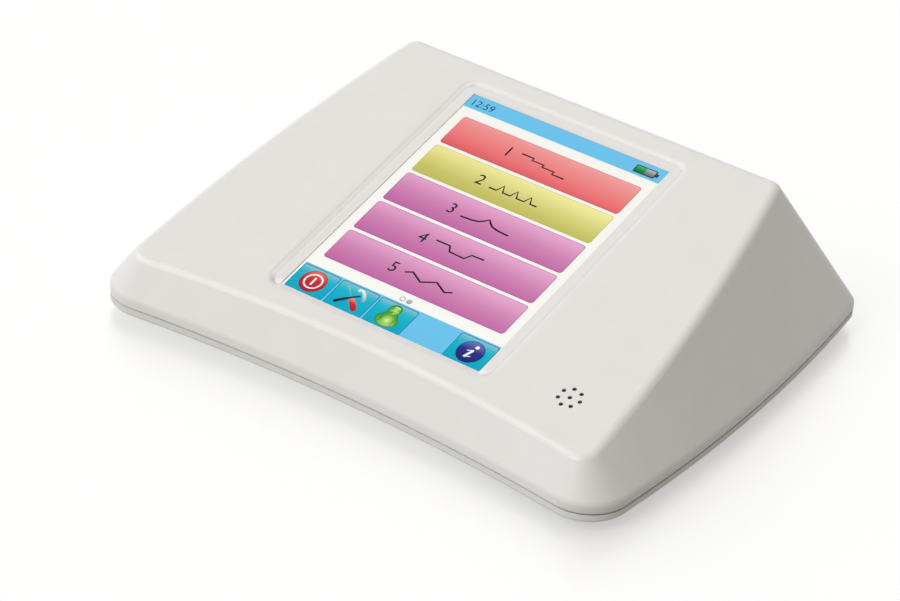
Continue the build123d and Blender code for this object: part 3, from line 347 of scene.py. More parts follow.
@dataclass(frozen=True)
class MouldedPlastic(Finish):
    """Housing plastic with a spark-eroded skin, dusting and painted shade low down, painted shade in the seam
    and over the skirt at its right, painted light in the seam elsewhere, and painted shade in the
    loudspeaker's holes.
    """

    dust_and_shade_reach: Pair = (0.0, 9.0)
    dust_and_shade_size: float = 5.0
    dust_and_shade_patch: Pair = (0.35, 0.7)
    dust_and_shade: float = 0.06
    seam_height: float = 7.2
    seam_reach: float = 0.25
    seam_fade: float = 0.1
    groove_painted_light: Rgb = (0.98, 0.97, 0.95)
    skirt_low: float = 7.0
    skirt_top: float = 13.0
    skirt_painted_shade: float = 0.3
    shaded_side: Pair = (84.0, 106.0)
    dust_and_shade_darkening: float = 0.3
    hole_middle: Pair = (78.0, -53.1)
    hole_reach: Pair = (5.5, 6.0)
    hole_depth: Pair = (-0.35, -0.1)
    hole_shade: float = 0.25

    def groove(self, graph: Graph) -> Wire:
        """Mask of the seam between the shells."""
        beside = abs(graph.coordinate(Axis.Z) - self.seam_height)
        return beside.fall(self.seam_reach, self.seam_reach + self.seam_fade)

    def side(self, graph: Graph) -> Wire:
        """Mask of the right side, where the seam and the skirt get painted shade."""
        return graph.coordinate(Axis.X).rise(*self.shaded_side)

    def dust_and_shade_mask(self, graph: Graph) -> Wire:
        """Mask of the dusting and painted shade near the table, and of the painted shade in and over the seam
        at the right.

        Args:
            graph: The nodes.

        Returns:
            The mask.
        """
        height = graph.coordinate(Axis.Z)
        patches = graph.noise(self.dust_and_shade_size, 4.0).rise(*self.dust_and_shade_patch)
        # Dusting on the shell; on the tray, painted shade that darkens it towards its lower edge.
        low = height.fall(*self.dust_and_shade_reach) * patches * self.dust_and_shade
        # Painted shade over the skirt just above the seam, and in the seam, at the right side.
        skirt = height.rise(self.skirt_low, self.seam_height) * height.fall(self.seam_height, self.skirt_top)
        return low.larger(self.groove(graph).larger(skirt * self.skirt_painted_shade) * self.side(graph))

    def holes(self, graph: Graph) -> Wire:
        """Mask of the painted shade on the walls of the loudspeaker's holes, under the skin of the sloping
        top.

        Args:
            graph: The nodes.

        Returns:
            The mask.
        """
        across, uphill = self.hole_middle
        middle = (TOP_MIDDLE + ALONG * across + UPHILL * uphill) * MM
        away = graph.distance(graph.place(), tuple(middle)) / MM
        return graph.along(OUTWARD).fall(*self.hole_depth) * away.fall(*self.hole_reach)

    def tint(self, graph: Graph) -> Wire:
        """Colour over the surface.

        Args:
            graph: The nodes.

        Returns:
            The colour.
        """
        # Painted light: the seam groove is paler away from the right side, lifting its shade.
        groove_lifted = graph.mix(self.groove(graph) * (1 - self.side(graph)), super().tint(graph), self.groove_painted_light)
        # Darkened by dusting, and by painted shade low on the tray and in the seam and over the skirt at the
        # right.
        dusted_and_shaded = graph.mix(self.dust_and_shade_mask(graph), groove_lifted, scaled(self.colour, self.dust_and_shade_darkening))
        # Painted shade on the walls of the loudspeaker's holes.
        return graph.mix(self.holes(graph), dusted_and_shaded, scaled(self.colour, self.hole_shade))

    def relief(self, graph: Graph) -> Wire:
        """Height, from 0 to 1."""
        return graph.cells(self.grain_size) * 0.5 + graph.noise(self.grain_size * 2.5, 2.0) * 0.5


@dataclass(frozen=True)
class ShellPlastic(MouldedPlastic):
    """Housing plastic that is softer in the screen's recess, and has painted light in places there.

    Its pairs are a value's two ends in mm: across, uphill, or over the plane of the sloping top.
    """

    softness: float = 2.0
    recess: Pair = (51.5, 64.0)
    recess_fade: float = 2.5
    recess_uphill: float = 1.2
    window: Pair = (44.4, 58.7)
    window_fade: float = 1.0
    window_low: Pair = (-1.8, -1.75)
    window_top: Pair = (-1.22, -1.12)
    # Painted light: pale colour on the window's edge, the foot of the left wall and the recess's front side,
    # which lifts their shade.
    pale: Rgb = (0.97, 0.96, 0.94)
    pale_top: Pair = (-0.3, -0.1)
    pale_left: Pair = (-47.6, -46.2)
    pale_front: Pair = (-61.0, -55.5)
    pale_corner: Pair = (44.0, 47.5)

    def offsets(self, graph: Graph) -> tuple[Wire, Wire]:
        """Distances from the recess's middle, across and uphill, in mm."""
        return graph.coordinate(Axis.X), graph.along(UPHILL) - self.recess_uphill

    def near(self, graph: Graph) -> Wire:
        """Mask of the recess and what is close to it.

        Args:
            graph: The nodes.

        Returns:
            The mask.
        """
        across, uphill = (
            abs(offset).fall(reach, reach + self.recess_fade)
            for offset, reach in zip(self.offsets(graph), self.recess)
        )
        return across * uphill

    def polished(self, graph: Graph) -> Wire:
        """Mask of the painted light on the window's edge, the foot of the left wall and the recess's front
        side.

        Args:
            graph: The nodes.

        Returns:
            The mask.
        """
        across, uphill = self.offsets(graph)
        height = graph.along(OUTWARD)
        edge = height.rise(*self.window_low) * height.fall(*self.window_top)
        left = across.fall(*self.pale_left) * uphill.rise(*self.pale_front)
        front = uphill.fall(*self.pale_front) * abs(across).fall(*self.pale_corner)
        sides = left.larger(front) * height.rise(*self.window_top) * height.fall(*self.pale_top)
        return edge.larger(sides) * self.near(graph)

    def tint(self, graph: Graph) -> Wire:
        """Colour over the surface."""
        # Painted light where the recess lies in shade.
        return graph.mix(self.polished(graph), super().tint(graph), self.pale)

    def under(self, graph: Graph) -> Wire:
        """Normal under the relief, rounded near the recess but not at the window's edge.

        Args:
            graph: The nodes.

        Returns:
            The normal.
        """
        across, uphill = (
            abs(offset).rise(reach, reach + self.window_fade)
            for offset, reach in zip(self.offsets(graph), self.window)
        )
        own = graph.out("ShaderNodeNewGeometry", "Normal", {}, {})
        rounded = graph.out("ShaderNodeBevel", 0, {"samples": 6}, {"Radius": self.softness * MM})
        ring = self.near(graph) * across.larger(uphill)
        return graph.out("ShaderNodeMix", 1, {"data_type": "VECTOR"}, {0: ring, 4: own, 5: rounded})


@dataclass(frozen=True)
class BrushedMetal(Finish):
    """Metal with fine lines along one axis."""

    along: Axis = Axis.X
    metallic: float = 1.0
    line: float = 40.0

    def relief(self, graph: Graph) -> Wire:
        """Height, from 0 to 1.

        Args:
            graph: The nodes.

        Returns:
            The height.
        """
        scale = tuple(1.0 / self.line if axis is self.along else 1.0 for axis in Axis)
        point = graph.out("ShaderNodeMapping", 0, {}, {"Vector": graph.place(), "Scale": scale})
        return graph.noise(self.grain_size, 3.0, point)


@dataclass(frozen=True)
class TurnedMetal(Finish):
    """Metal turned on a lathe, with rings round an axis along Y through a point in X and Z."""

    metallic: float = 1.0
    centre: Pair = (0.0, 20.5)
    pitch: float = 0.18
    rings: float = 0.35

    def relief(self, graph: Graph) -> Wire:
        """Height, from 0 to 1.

        Args:
            graph: The nodes.

        Returns:
            The height.
        """
        centre = (-self.centre[0] * MM, 0.0, -self.centre[1] * MM)
        point = graph.out("ShaderNodeMapping", 0, {}, {"Vector": graph.place(), "Location": centre})
        across, along, up = (graph.part(point, axis) for axis in Axis)
        radius = (across * across + up * up) ** 0.5
        groove = (radius + along) * (2 * pi / (self.pitch * MM))
        return groove.wave() * self.rings + graph.noise(self.grain_size, 2.0) * (1 - self.rings)


@dataclass(frozen=True)
class Laminate(Finish):
    """Circuit board with tracks and pads under its solder mask."""

    track: float = 2.4
    track_randomness: float = 0.35
    track_waves: float = 30.0
    track_edge: Pair = (0.35, 0.6)
    track_shine: float = 1.9
    pad_edge: Pair = (0.1, 0.14)
    metal: Rgb = (0.55, 0.5, 0.3)

    def tracks(self, graph: Graph) -> Wire:
        """Mask of the copper tracks."""
        cells = graph.cells(self.track * 2, self.track_randomness, "MANHATTAN")
        return (cells * self.track_waves).wave().rise(*self.track_edge)

    def tint(self, graph: Graph) -> Wire:
        """Colour over the surface.

        Args:
            graph: The nodes.

        Returns:
            The colour.
        """
        track = tuple(part * self.track_shine for part in self.colour)
        masked = graph.mix(self.tracks(graph), self.colour, track)
        return graph.mix(graph.cells(self.track).fall(*self.pad_edge), masked, self.metal)

    def relief(self, graph: Graph) -> Wire:
        """Height, from 0 to 1."""
        return self.tracks(graph)


@dataclass(frozen=True)
class FlatCable(Finish):
    """Film with copper lines along it."""

    pitch: float = 1.0
    line_edge: Pair = (-0.3, 0.3)
    between: float = 0.55

    def relief(self, graph: Graph) -> Wire:
        """Height, from 0 to 1."""
        return (graph.coordinate(Axis.X) * (2 * pi / self.pitch)).wave().rise(*self.line_edge)

    def tint(self, graph: Graph) -> Wire:
        """Colour over the surface."""
        return graph.mix(self.relief(graph), scaled(self.colour, self.between), self.colour)


@dataclass(frozen=True)
class ClearGlass(Surface):
    """Clear front of the screen, with a faint uneven shine."""

    index: float = 1.5
    roughness: float = 0.08
    shine: float = 0.1
    smear: float = 0.5
    smear_size: float = 22.0
    tint: Rgb = (0.985, 0.99, 0.99)

    def shader(self, graph: Graph) -> Wire:
        """Shader of the surface.

        Args:
            graph: The nodes.

        Returns:
            The shader.
        """
        clear = graph.out("ShaderNodeBsdfTransparent", 0, {}, {"Color": self.tint})
        look = {"Color": (self.shine,) * 3, "Roughness": self.roughness}
        shine = graph.out("ShaderNodeBsdfGlossy", 0, {}, look)
        edge = graph.out("ShaderNodeFresnel", 0, {}, {"IOR": self.index})
        smear = graph.noise(self.smear_size, 3.0) * self.smear + (1 - self.smear / 2)
        return graph.join(edge * smear, clear, shine)


@dataclass(frozen=True)
class LitColour(Surface):
    """Lit part of the picture, with colours from its lower edge to its upper, or from a middle outwards."""

    stops: tuple[tuple[float, Rgb], ...]
    strength: float = 1.04
    across: float = 0.0
    middle: Optional[Point] = None
    base: Rgb = (0.01, 0.01, 0.01)
    roughness: float = 0.45
    gloss_spread: float = 0.05
    grain_size: float = 0.35

    def place(self, graph: Graph) -> Wire:
        """Place among the stops: the height, or the distance from the middle where there is one.

        Args:
            graph: The nodes.

        Returns:
            The place.
        """
        spot = graph.out("ShaderNodeUVMap", 0, {}, {})
        if self.middle is not None:
            return graph.distance(spot, self.middle)
        return graph.part(spot, Axis.Y) * (1 - self.across) + graph.part(spot, Axis.X) * self.across

    def shader(self, graph: Graph) -> Wire:
        """Shader of the surface.

        Args:
            graph: The nodes.

        Returns:
            The shader.
        """
        colour = graph.out("ShaderNodeValToRGB", 0, {"stops": self.stops}, {0: self.place(graph)})
        return graph.out(
            "ShaderNodeBsdfPrincipled", 0, {},
            {
                "Base Color": self.base,
                "Roughness": graph.noise(self.grain_size, 1.0) * self.gloss_spread + self.roughness,
                "Specular IOR Level": 0.0,
                "Emission Color": colour,
                "Emission Strength": self.strength,
            },
        )


def lit(name: str, *shades: Shade, at: Sequence[float] = (), **rest: Any) -> LitColour:
    """Lit colour from shades as they look on a display.

    Args:
        name: Its name.
        shades: Its shades in order.
        at: Places of the shades from 0 to 1, spread evenly by default.
        rest: Other fields.

    Returns:
        The lit colour.
    """
    places = at or [place / (len(shades) - 1) for place in range(len(shades))]
    return LitColour(name, tuple((place, paint(*shade)) for place, shade in zip(places, shades)), **rest)


WHITE = lit("sign_white", (240, 240, 240), (255, 255, 255))


def dress(finish: Surface, *nodes: str) -> None:
    """Gives CAD nodes their finish.

    Args:
        finish: The finish for all of each node.
        nodes: The nodes' names.
    """
    material = finish.material()
    for node in nodes:
        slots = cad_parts[node].data.materials
        for place in range(len(slots)):
            slots[place] = material
        LOG.info("dressed %s with %s", node, finish.name)


def link(name: str, data: bpy.types.ID) -> bpy.types.Object:
    """Adds an object with its data to the scene.

    Args:
        name: Its name.
        data: Its data.

    Returns:
        The object.
    """
    made = bpy.data.objects.new(name, data)
    bpy.context.scene.collection.objects.link(made)
    return made


def inset(box: Box, wall: float) -> Box:
    """Box that lies a wall's width inside another."""
    left, low, right, high = box
    return left + wall, low + wall, right - wall, high - wall


class Form:
    """Flat form of the picture. Its places and sizes are in mm from the picture's middle."""

    def shape(self) -> Shape:
        """Makes the form in the picture's own plane."""
        raise NotImplementedError

    @staticmethod
    def from_curve(curve: bpy.types.Curve) -> Shape:
        """Turns a curve or a text into a shape, and removes it.

        Args:
            curve: The curve.

        Returns:
            The shape.
        """
        holder = bpy.data.objects.new(curve.name, curve)
        mesh = bpy.data.meshes.new_from_object(holder)
        shape = bmesh.new()
        shape.from_mesh(mesh)
        bpy.data.objects.remove(holder)
        bpy.data.curves.remove(curve)
        bpy.data.meshes.remove(mesh)
        return shape


@dataclass(frozen=True)
class Tile(Form):
    """Rounded rectangle by its left, lower, right and upper edge, turned about its middle."""

    box: Box
    corner: float = 0.0
    turn: float = 0.0
    steps: int = 8

    def shape(self) -> Shape:
        """Makes the shape.

        Returns:
            The shape.
        """
        left, low, right, high = self.box
        shape = bmesh.new()
        bmesh.ops.create_grid(shape, x_segments=1, y_segments=1, size=0.5)
        bmesh.ops.scale(shape, vec=(right - left, high - low, 1.0), verts=shape.verts)
        if self.corner:
            bmesh.ops.bevel(
                shape, geom=shape.verts[:], offset=self.corner, segments=self.steps, profile=0.5,
                affect="VERTICES", material=-1,
            )
        bmesh.ops.rotate(shape, matrix=Matrix.Rotation(self.turn, 3, "Z"), verts=shape.verts)
        bmesh.ops.translate(shape, vec=((left + right) / 2, (low + high) / 2, 0.0), verts=shape.verts)
        return shape


@dataclass(frozen=True)
class Bar(Form):
    """Bar between two points, with its corner radius as a share of its width."""

    ends: Box
    width: float
    rounding: float = 0.45

    def shape(self) -> Shape:
        """Makes the shape.

        Returns:
            The shape.
        """
        start, end = Vector(self.ends[:2]), Vector(self.ends[2:])
        run = end - start
        middle, half = (start + end) / 2, Vector((run.length / 2, self.width / 2))
        turn = -Vector((1.0, 0.0)).angle_signed(run, 0.0)
        return Tile((*(middle - half), *(middle + half)), self.width * self.rounding, turn).shape()


@dataclass(frozen=True)
class Disc(Form):
    """Disc, or ring where it has a hole, with its height as a share of its width."""

    middle: Pair
    radius: float
    hole: float = 0.0
    squash: float = 1.0
    steps: int = 48

    def shape(self) -> Shape:
        """Makes the shape.

        Returns:
            The shape.
        """
        shape = bmesh.new()
        if self.hole:
            side = [shape.verts.new((reach, 0.0, 0.0)) for reach in (self.hole, self.radius)]
            edge = shape.edges.new(side)
            bmesh.ops.spin(
                shape, geom=[*side, edge], axis=(0, 0, 1), cent=(0, 0, 0), angle=2 * pi, steps=self.steps,
                use_merge=True,
            )
            bmesh.ops.recalc_face_normals(shape, faces=shape.faces)
            if shape.faces[:][0].normal.z < 0:
                bmesh.ops.reverse_faces(shape, faces=shape.faces)
        else:
            bmesh.ops.create_circle(shape, cap_ends=True, radius=self.radius, segments=self.steps)
        bmesh.ops.scale(shape, vec=(1.0, self.squash, 1.0), verts=shape.verts)
        bmesh.ops.translate(shape, vec=(*self.middle, 0.0), verts=shape.verts)
        return shape


@dataclass(frozen=True)
class Figures(Form):
    """Plain figures, with their height as a share of the type's size."""

    text: str
    middle: Pair
    height: float
    share: float = 0.72
    steps: int = 6
    weld: float = 0.001

    def shape(self) -> Shape:
        """Makes the shape.

        Returns:
            The shape.
        """
        curve = bpy.data.curves.new("figures", "FONT")
        curve.body = self.text
        curve.size = self.height / self.share
        curve.align_x = "CENTER"
        curve.align_y = "CENTER"
        curve.resolution_u = self.steps
        shape = self.from_curve(curve)
        bmesh.ops.remove_doubles(shape, verts=shape.verts, dist=self.weld)
        bmesh.ops.translate(shape, vec=(*self.middle, 0.0), verts=shape.verts)
        return shape


@dataclass(frozen=True)
class Trace(Form):
    """Thin line through points, as in a chart."""

    points: Sequence[Pair]
    width: float
    thickness: float = 0.02
    steps: int = 3

    def shape(self) -> Shape:
        """Makes the shape.

        Returns:
            The shape.
        """
        curve = bpy.data.curves.new("trace", "CURVE")
        curve.dimensions = "3D"
        curve.bevel_depth = self.width / 2
        curve.bevel_resolution = self.steps
        curve.use_fill_caps = True
        line = curve.splines.new("POLY")
        line.points.add(len(self.points) - 1)
        for spot, (across, up) in zip(line.points, self.points):
            spot.co = (across, up, 0.0, 1.0)
        shape = self.from_curve(curve)
        bmesh.ops.scale(shape, vec=(1.0, 1.0, self.thickness / self.width), verts=shape.verts)
        return shape


Pieces = Iterator[tuple[str, Form, LitColour, int]]


@dataclass
class Picture:
    """Lit picture of the screen: flat pieces in thin layers under the glass."""

    depth: float = 2.2
    layer: float = 0.02
    slot: str = "display_picture"
    made: int = 0

    def lay(self, name: str, form: Form, colour: LitColour, layer: int) -> None:
        """Gives a form its UV map and lays it as a piece.

        Args:
            name: The piece's name after picture_.
            form: Its form.
            colour: Its colour.
            layer: Its layer, counted from the back.
        """
        shape = form.shape()
        across = [vertex.co.x for vertex in shape.verts]
        up = [vertex.co.y for vertex in shape.verts]
        left, width = min(across), max(across) - min(across)
        low, height = min(up), max(up) - min(up)
        layout = shape.loops.layers.uv.verify()
        for face in shape.faces:
            face.smooth = False
            for corner in face.loops:
                spot = corner.vert.co
                corner[layout].uv = ((spot.x - left) / width, (spot.y - low) / height)
        middle = TOP_MIDDLE - OUTWARD * (self.depth - self.layer * layer)
        turn = Matrix((ALONG, UPHILL, OUTWARD)).transposed().to_4x4()
        shape.transform(Matrix.Scale(MM, 4) @ Matrix.Translation(middle) @ turn)
        mesh = bpy.data.meshes.new(f"picture_{name}")
        shape.to_mesh(mesh)
        shape.free()
        mesh.materials.append(colour.material())
        piece = link(f"picture_{name}", mesh)
        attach(piece, HOUSING)
        self.made += 1
        LOG.info("made picture_%s", name)


class ButtonColour(Enum):
    """Shades of a wide button: its rim's, and then its face's from the lower edge up."""

    RED = (226, 88, 96), (218, 94, 95), (236, 112, 115), (238, 130, 130), (239, 144, 143), (243, 164, 163)
    OLIVE = (196, 190, 80), (193, 189, 92), (202, 196, 103), (218, 211, 125), (232, 226, 144), (248, 239, 161)
    MAUVE = (
        (186, 84, 150), (192, 104, 165), (201, 117, 172), (210, 133, 182), (223, 153, 195), (235, 172, 209),
    )

    def colours(self) -> tuple[LitColour, LitColour]:
        """Lit colours of the rim and the face.

        Returns:
            The two colours.
        """
        rim, *face = self.value
        name = f"button_{self.name.lower()}"
        low, high = (tuple(part + change for part in rim) for change in (-12, 10))
        return lit(f"{name}_rim", low, high), lit(name, *face, across=0.12)


CHARTS = (
    (ButtonColour.RED, (
        (0, 3.2), (2.6, 3.2), (2.6, 2.0), (5.2, 2.0), (5.2, 0.8), (7.8, 0.8), (7.8, -0.6), (10.4, -0.6),
    )),
    (ButtonColour.OLIVE, (
        (0, 0), (1.6, 0), (2.3, 3.2), (3.0, 0), (4.6, 0), (5.3, 3.2), (6.0, 0), (7.6, 0), (8.3, 3.2),
        (9.0, 0), (10.4, 0),
    )),
    (ButtonColour.MAUVE, (
        (0, 0), (2.4, 0.3), (3.8, 1.0), (4.7, 2.4), (5.2, 3.6), (5.7, 2.4), (6.6, 1.0), (8.0, 0.3), (10.4, 0),
    )),
    (ButtonColour.MAUVE, ((0, 3.0), (3.0, 3.0), (3.8, 0.4), (7.0, 0.2), (7.8, 2.9), (10.4, 3.0))),
    (ButtonColour.MAUVE, (
        (0, 1.6), (1.3, 3.0), (2.6, 1.6), (3.9, 0.2), (5.2, 1.6), (6.5, 3.0), (7.8, 1.6), (9.1, 0.2),
        (10.4, 1.6),
    )),
)


@dataclass
class Screen:
    """Screen in the sloping top: glass, picture, module, gasket, bracket and cable."""

    half_width: float = 43.2
    half_height: float = 57.6
    overlap: float = 0.6
    status_low: float = 51.3
    lower: Box = (-42.9, -57.3, 42.7, -43.8)
    charge: Box = (30.6, 52.5, 39.6, 56.5)
    charge_wall: float = 0.5
    charged_to: float = 35.2
    button_left: float = -39.8
    button_right: float = 39.2
    button_height: float = 15.9
    button_pitch: float = 17.34
    button_top: float = 46.7
    button_corner: float = 1.3
    button_rim: float = 0.28
    figure_height: float = 5.2
    figure_across: float = -14.2
    chart_left: float = -9.2
    chart_low: float = -1.6
    chart_scale: float = 21.0 / 10.4
    chart_line: float = 0.75
    tile_high: float = -44.4
    tile_rim: float = 0.35
    power_middle: Pair = (-34.55, -50.8)
    user_across: float = -0.3
    user_rim: float = 0.28
    help_middle: Pair = (34.5, -51.0)

    def dress(self) -> None:
        """Dresses the screen's CAD nodes."""
        dress(ClearGlass("clear_touch_glass"), "touch_panel")
        # The module frame and the gasket are pale partly as their own colour and partly as painted light that
        # lifts the shade in the narrow gap beside the picture.
        dress(Finish("module_frame", (0.8, 0.79, 0.77), 0.5, grain_size=0.6), "display_module")
        foam = Finish("foam_gasket", (0.88, 0.88, 0.86), 0.9, grain_size=0.25, grain_depth=0.05)
        dress(foam, "screen_gasket")
        dress(BrushedMetal("plated_sheet", (0.62, 0.62, 0.6), 0.42, along=Axis.Y), "display_bracket")
        dress(FlatCable("copper_film", (0.5, 0.26, 0.07), 0.35), "display_ribbon")

    def build(self) -> None:
        """Lays the picture under the glass."""
        picture = Picture()
        parts = (
            self.background, self.status_signs, self.buttons, self.page_marks, self.tiles, self.power_sign,
            self.tool_sign, self.user_sign, self.help_sign,
        )
        for part in parts:
            for piece in part():
                picture.lay(*piece)
        LOG.info("laid %d pieces of the picture", picture.made)

    def background(self) -> Pieces:
        """Pale ground, a little wider than the window, and the two light blue bars.

        Returns:
            The pieces, in order.
        """
        ground = lit("picture_ground", (252, 251, 246), (249, 247, 240))
        bars = lit("picture_bars", (106, 195, 236), (110, 197, 238))
        width, height = self.half_width + self.overlap, self.half_height + self.overlap
        yield "ground", Tile((-width, -height, width, height)), ground, 0
        yield "status_bar", Tile((-width, self.status_low, width, height)), bars, 1
        yield "lower_bar", Tile(self.lower), bars, 1

    def status_signs(self) -> Pieces:
        """Clock's figures and the charge sign.

        Returns:
            The pieces, in order.
        """
        ink = lit("picture_clock_ink", (28, 58, 84), (34, 66, 94))
        edge = lit("picture_charge_edge", (44, 46, 52), (60, 62, 70))
        full = lit("charge_green", (0, 112, 52), (10, 150, 78), (70, 190, 120))
        spent = lit("charge_grey", (104, 106, 110), (150, 152, 156), (196, 198, 200), at=(0, 0.6, 1))
        left, low, right, high = inset(self.charge, self.charge_wall)
        yield "clock", Figures("12:59", (-37.3, 54.45), height=3.4), ink, 2
        yield "charge_case", Tile(self.charge, corner=0.5), edge, 2
        yield "charge_end", Tile((39.4, 53.6, 40.7, 55.4), corner=0.3), edge, 2
        yield "charge_left", Tile((left, low, self.charged_to, high), corner=0.15), full, 3
        yield "charge_right", Tile((self.charged_to, low, right, high), corner=0.15), spent, 3

    def buttons(self) -> Pieces:
        """Five wide buttons, each with a plain figure and a small chart line.

        Returns:
            The pieces, in order.
        """
        ink = lit("picture_button_ink", (24, 20, 28), (32, 28, 38))
        for number, (colour, chart) in enumerate(CHARTS):
            rim, face = colour.colours()
            name = f"button_{number + 1}"
            high = self.button_top - number * self.button_pitch
            low = high - self.button_height
            middle = (high + low) / 2
            box = (self.button_left, low, self.button_right, high)
            yield f"{name}_rim", Tile(box, self.button_corner), rim, 1
            inner = inset(box, self.button_rim)
            yield name, Tile(inner, self.button_corner - self.button_rim), face, 2
            figure = Figures(str(number + 1), (self.figure_across, middle), self.figure_height)
            yield f"{name}_figure", figure, ink, 3
            start, base = self.chart_left, middle + self.chart_low
            line = [(start + across * self.chart_scale, base + up) for across, up in chart]
            yield f"{name}_chart", Trace(line, self.chart_line), ink, 3

    def page_marks(self) -> Pieces:
        """Two small page marks.

        Returns:
            The pieces, in order.
        """
        grey = lit("picture_page_mark", (164, 164, 164), (190, 190, 190))
        yield "page_ring", Disc((-1.7, -41.8), radius=1.15, hole=0.75), grey, 1
        yield "page_disc", Disc((1.3, -41.9), radius=1.15), grey, 1

    def tiles(self) -> Pieces:
        """Four tiles of the lower bar.

        Returns:
            The pieces, in order.
        """
        shades = (0, 165, 195), (3, 177, 203), (28, 182, 204), (76, 186, 205), (136, 196, 208)
        teal = lit("picture_tile", *shades, at=(0.0, 0.5, 0.72, 0.85, 1.0))
        edge = lit("picture_tile_rim", (0, 150, 184), (0, 118, 150))
        first, low, last, _ = self.lower
        spans = {"power": (first, -26.4), "tools": (-25.7, -9.1), "user": (-8.4, 8.0), "help": (26.4, last)}
        for name, (left, right) in spans.items():
            box = (left, low, right, self.tile_high)
            yield f"{name}_rim", Tile(box, corner=1.2), edge, 2
            yield f"{name}_tile", Tile(inset(box, self.tile_rim), corner=0.95), teal, 3

    def power_sign(self) -> Pieces:
        """Red on-off sign.

        Returns:
            The pieces, in order.
        """
        red = lit("sign_red", (176, 22, 34), (206, 44, 52), (232, 112, 104), at=(0, 0.6, 1))
        deep = lit("sign_red_rim", (120, 14, 24), (168, 40, 44))
        yield "power_rim", Disc(self.power_middle, radius=5.25), deep, 4
        yield "power_disc", Disc(self.power_middle, radius=4.95), red, 5
        yield "power_ring", Disc(self.power_middle, radius=3.7, hole=3.05), WHITE, 6
        yield "power_bar", Tile((-34.97, -52.7, -34.13, -48.9), corner=0.3), WHITE, 6

    def tool_sign(self) -> Pieces:
        """Crossed hammer and screwdriver.

        Returns:
            The pieces, in order.
        """
        steel = lit("sign_steel", (150, 158, 166), (206, 212, 218), (240, 244, 248))
        dark = lit("sign_dark", (14, 12, 18), (58, 52, 60))
        shaft = lit("sign_shaft", (18, 22, 44), (52, 66, 104))
        faint = lit("sign_faint", (84, 178, 198), (168, 218, 226))
        grip = lit("sign_grip", (160, 22, 28), (212, 44, 44), (240, 150, 136), at=(0, 0.6, 1))
        head = (
            (-17.5, -46.7), (-17.0, -45.9), (-15.9, -45.9), (-14.7, -46.8), (-13.7, -48.1), (-13.1, -49.3),
            (-13.2, -50.3),
        )
        yield "driver_blade", Bar((-21.8, -46.5, -17.6, -50.6), width=0.24), faint, 4
        yield "driver_tip", Disc((-21.8, -46.5), radius=0.38), faint, 4
        yield "hammer_shaft", Bar((-18.8, -51.3, -15.2, -48.2), width=0.9), shaft, 5
        yield "hammer_grip", Bar((-22.4, -55.0, -18.4, -50.9), width=1.4), dark, 6
        yield "hammer_head", Trace(head, width=1.25), steel, 7
        yield "driver_grip", Bar((-17.4, -50.7, -12.9, -55.5), width=2.3), grip, 8

    def user_sign(self) -> Pieces:
        """Green figure with a round head, the rims first and then the forms over them.

        Returns:
            The pieces, in order.
        """
        shades = (216, 240, 176), (168, 216, 108), (84, 168, 48), (56, 140, 36)
        green = lit("sign_green", *shades, at=(0.0, 0.2, 0.45, 0.7), middle=(0.56, 0.3, 0.0))
        deep = lit("sign_green_rim", (34, 112, 26), (52, 132, 34))
        pale = lit("sign_green_shine", (150, 206, 96), (206, 234, 160))
        forms = (("body", -53.1, 4.3, 0.7, 5), ("chest", -52.0, 3.0, 1.15, 6), ("head", -47.7, 2.3, 1.0, 6))
        for name, up, radius, squash, _ in forms:
            rim = Disc((self.user_across, up), radius + self.user_rim, squash=squash)
            yield f"user_{name}_rim", rim, deep, 4
        for name, up, radius, squash, layer in forms:
            yield f"user_{name}", Disc((self.user_across, up), radius, squash=squash), green, layer
        yield "user_shine", Disc((0.0, -46.7), radius=1.25, squash=0.6), pale, 7
        for side in (-1, 1):
            arm = (self.user_across + side * 2.5, -52.2, self.user_across + side * 2.7, -55.2)
            yield f"user_arm_{side + 2}", Bar(arm, width=0.22), deep, 7

    def help_sign(self) -> Pieces:
        """Dark blue information sign.

        Returns:
            The pieces, in order.
        """
        blue = lit("sign_blue", (30, 34, 110), (40, 44, 132), (104, 124, 190), at=(0, 0.55, 1))
        deep = lit("sign_blue_rim", (16, 20, 74), (46, 56, 128))
        yield "help_rim", Disc(self.help_middle, radius=5.2), deep, 4
        yield "help_disc", Disc(self.help_middle, radius=4.9), blue, 5
        yield "help_stem", Bar((35.1, -50.0, 33.65, -54.0), width=1.0, rounding=0.1), WHITE, 6
        yield "help_foot", Bar((33.5, -53.8, 35.8, -52.9), width=0.35, rounding=0.1), WHITE, 6
        yield "help_serif", Bar((32.9, -50.9, 35.3, -49.9), width=0.35, rounding=0.1), WHITE, 6
        yield "help_dot", Disc((35.6, -48.25), radius=0.78), WHITE, 6


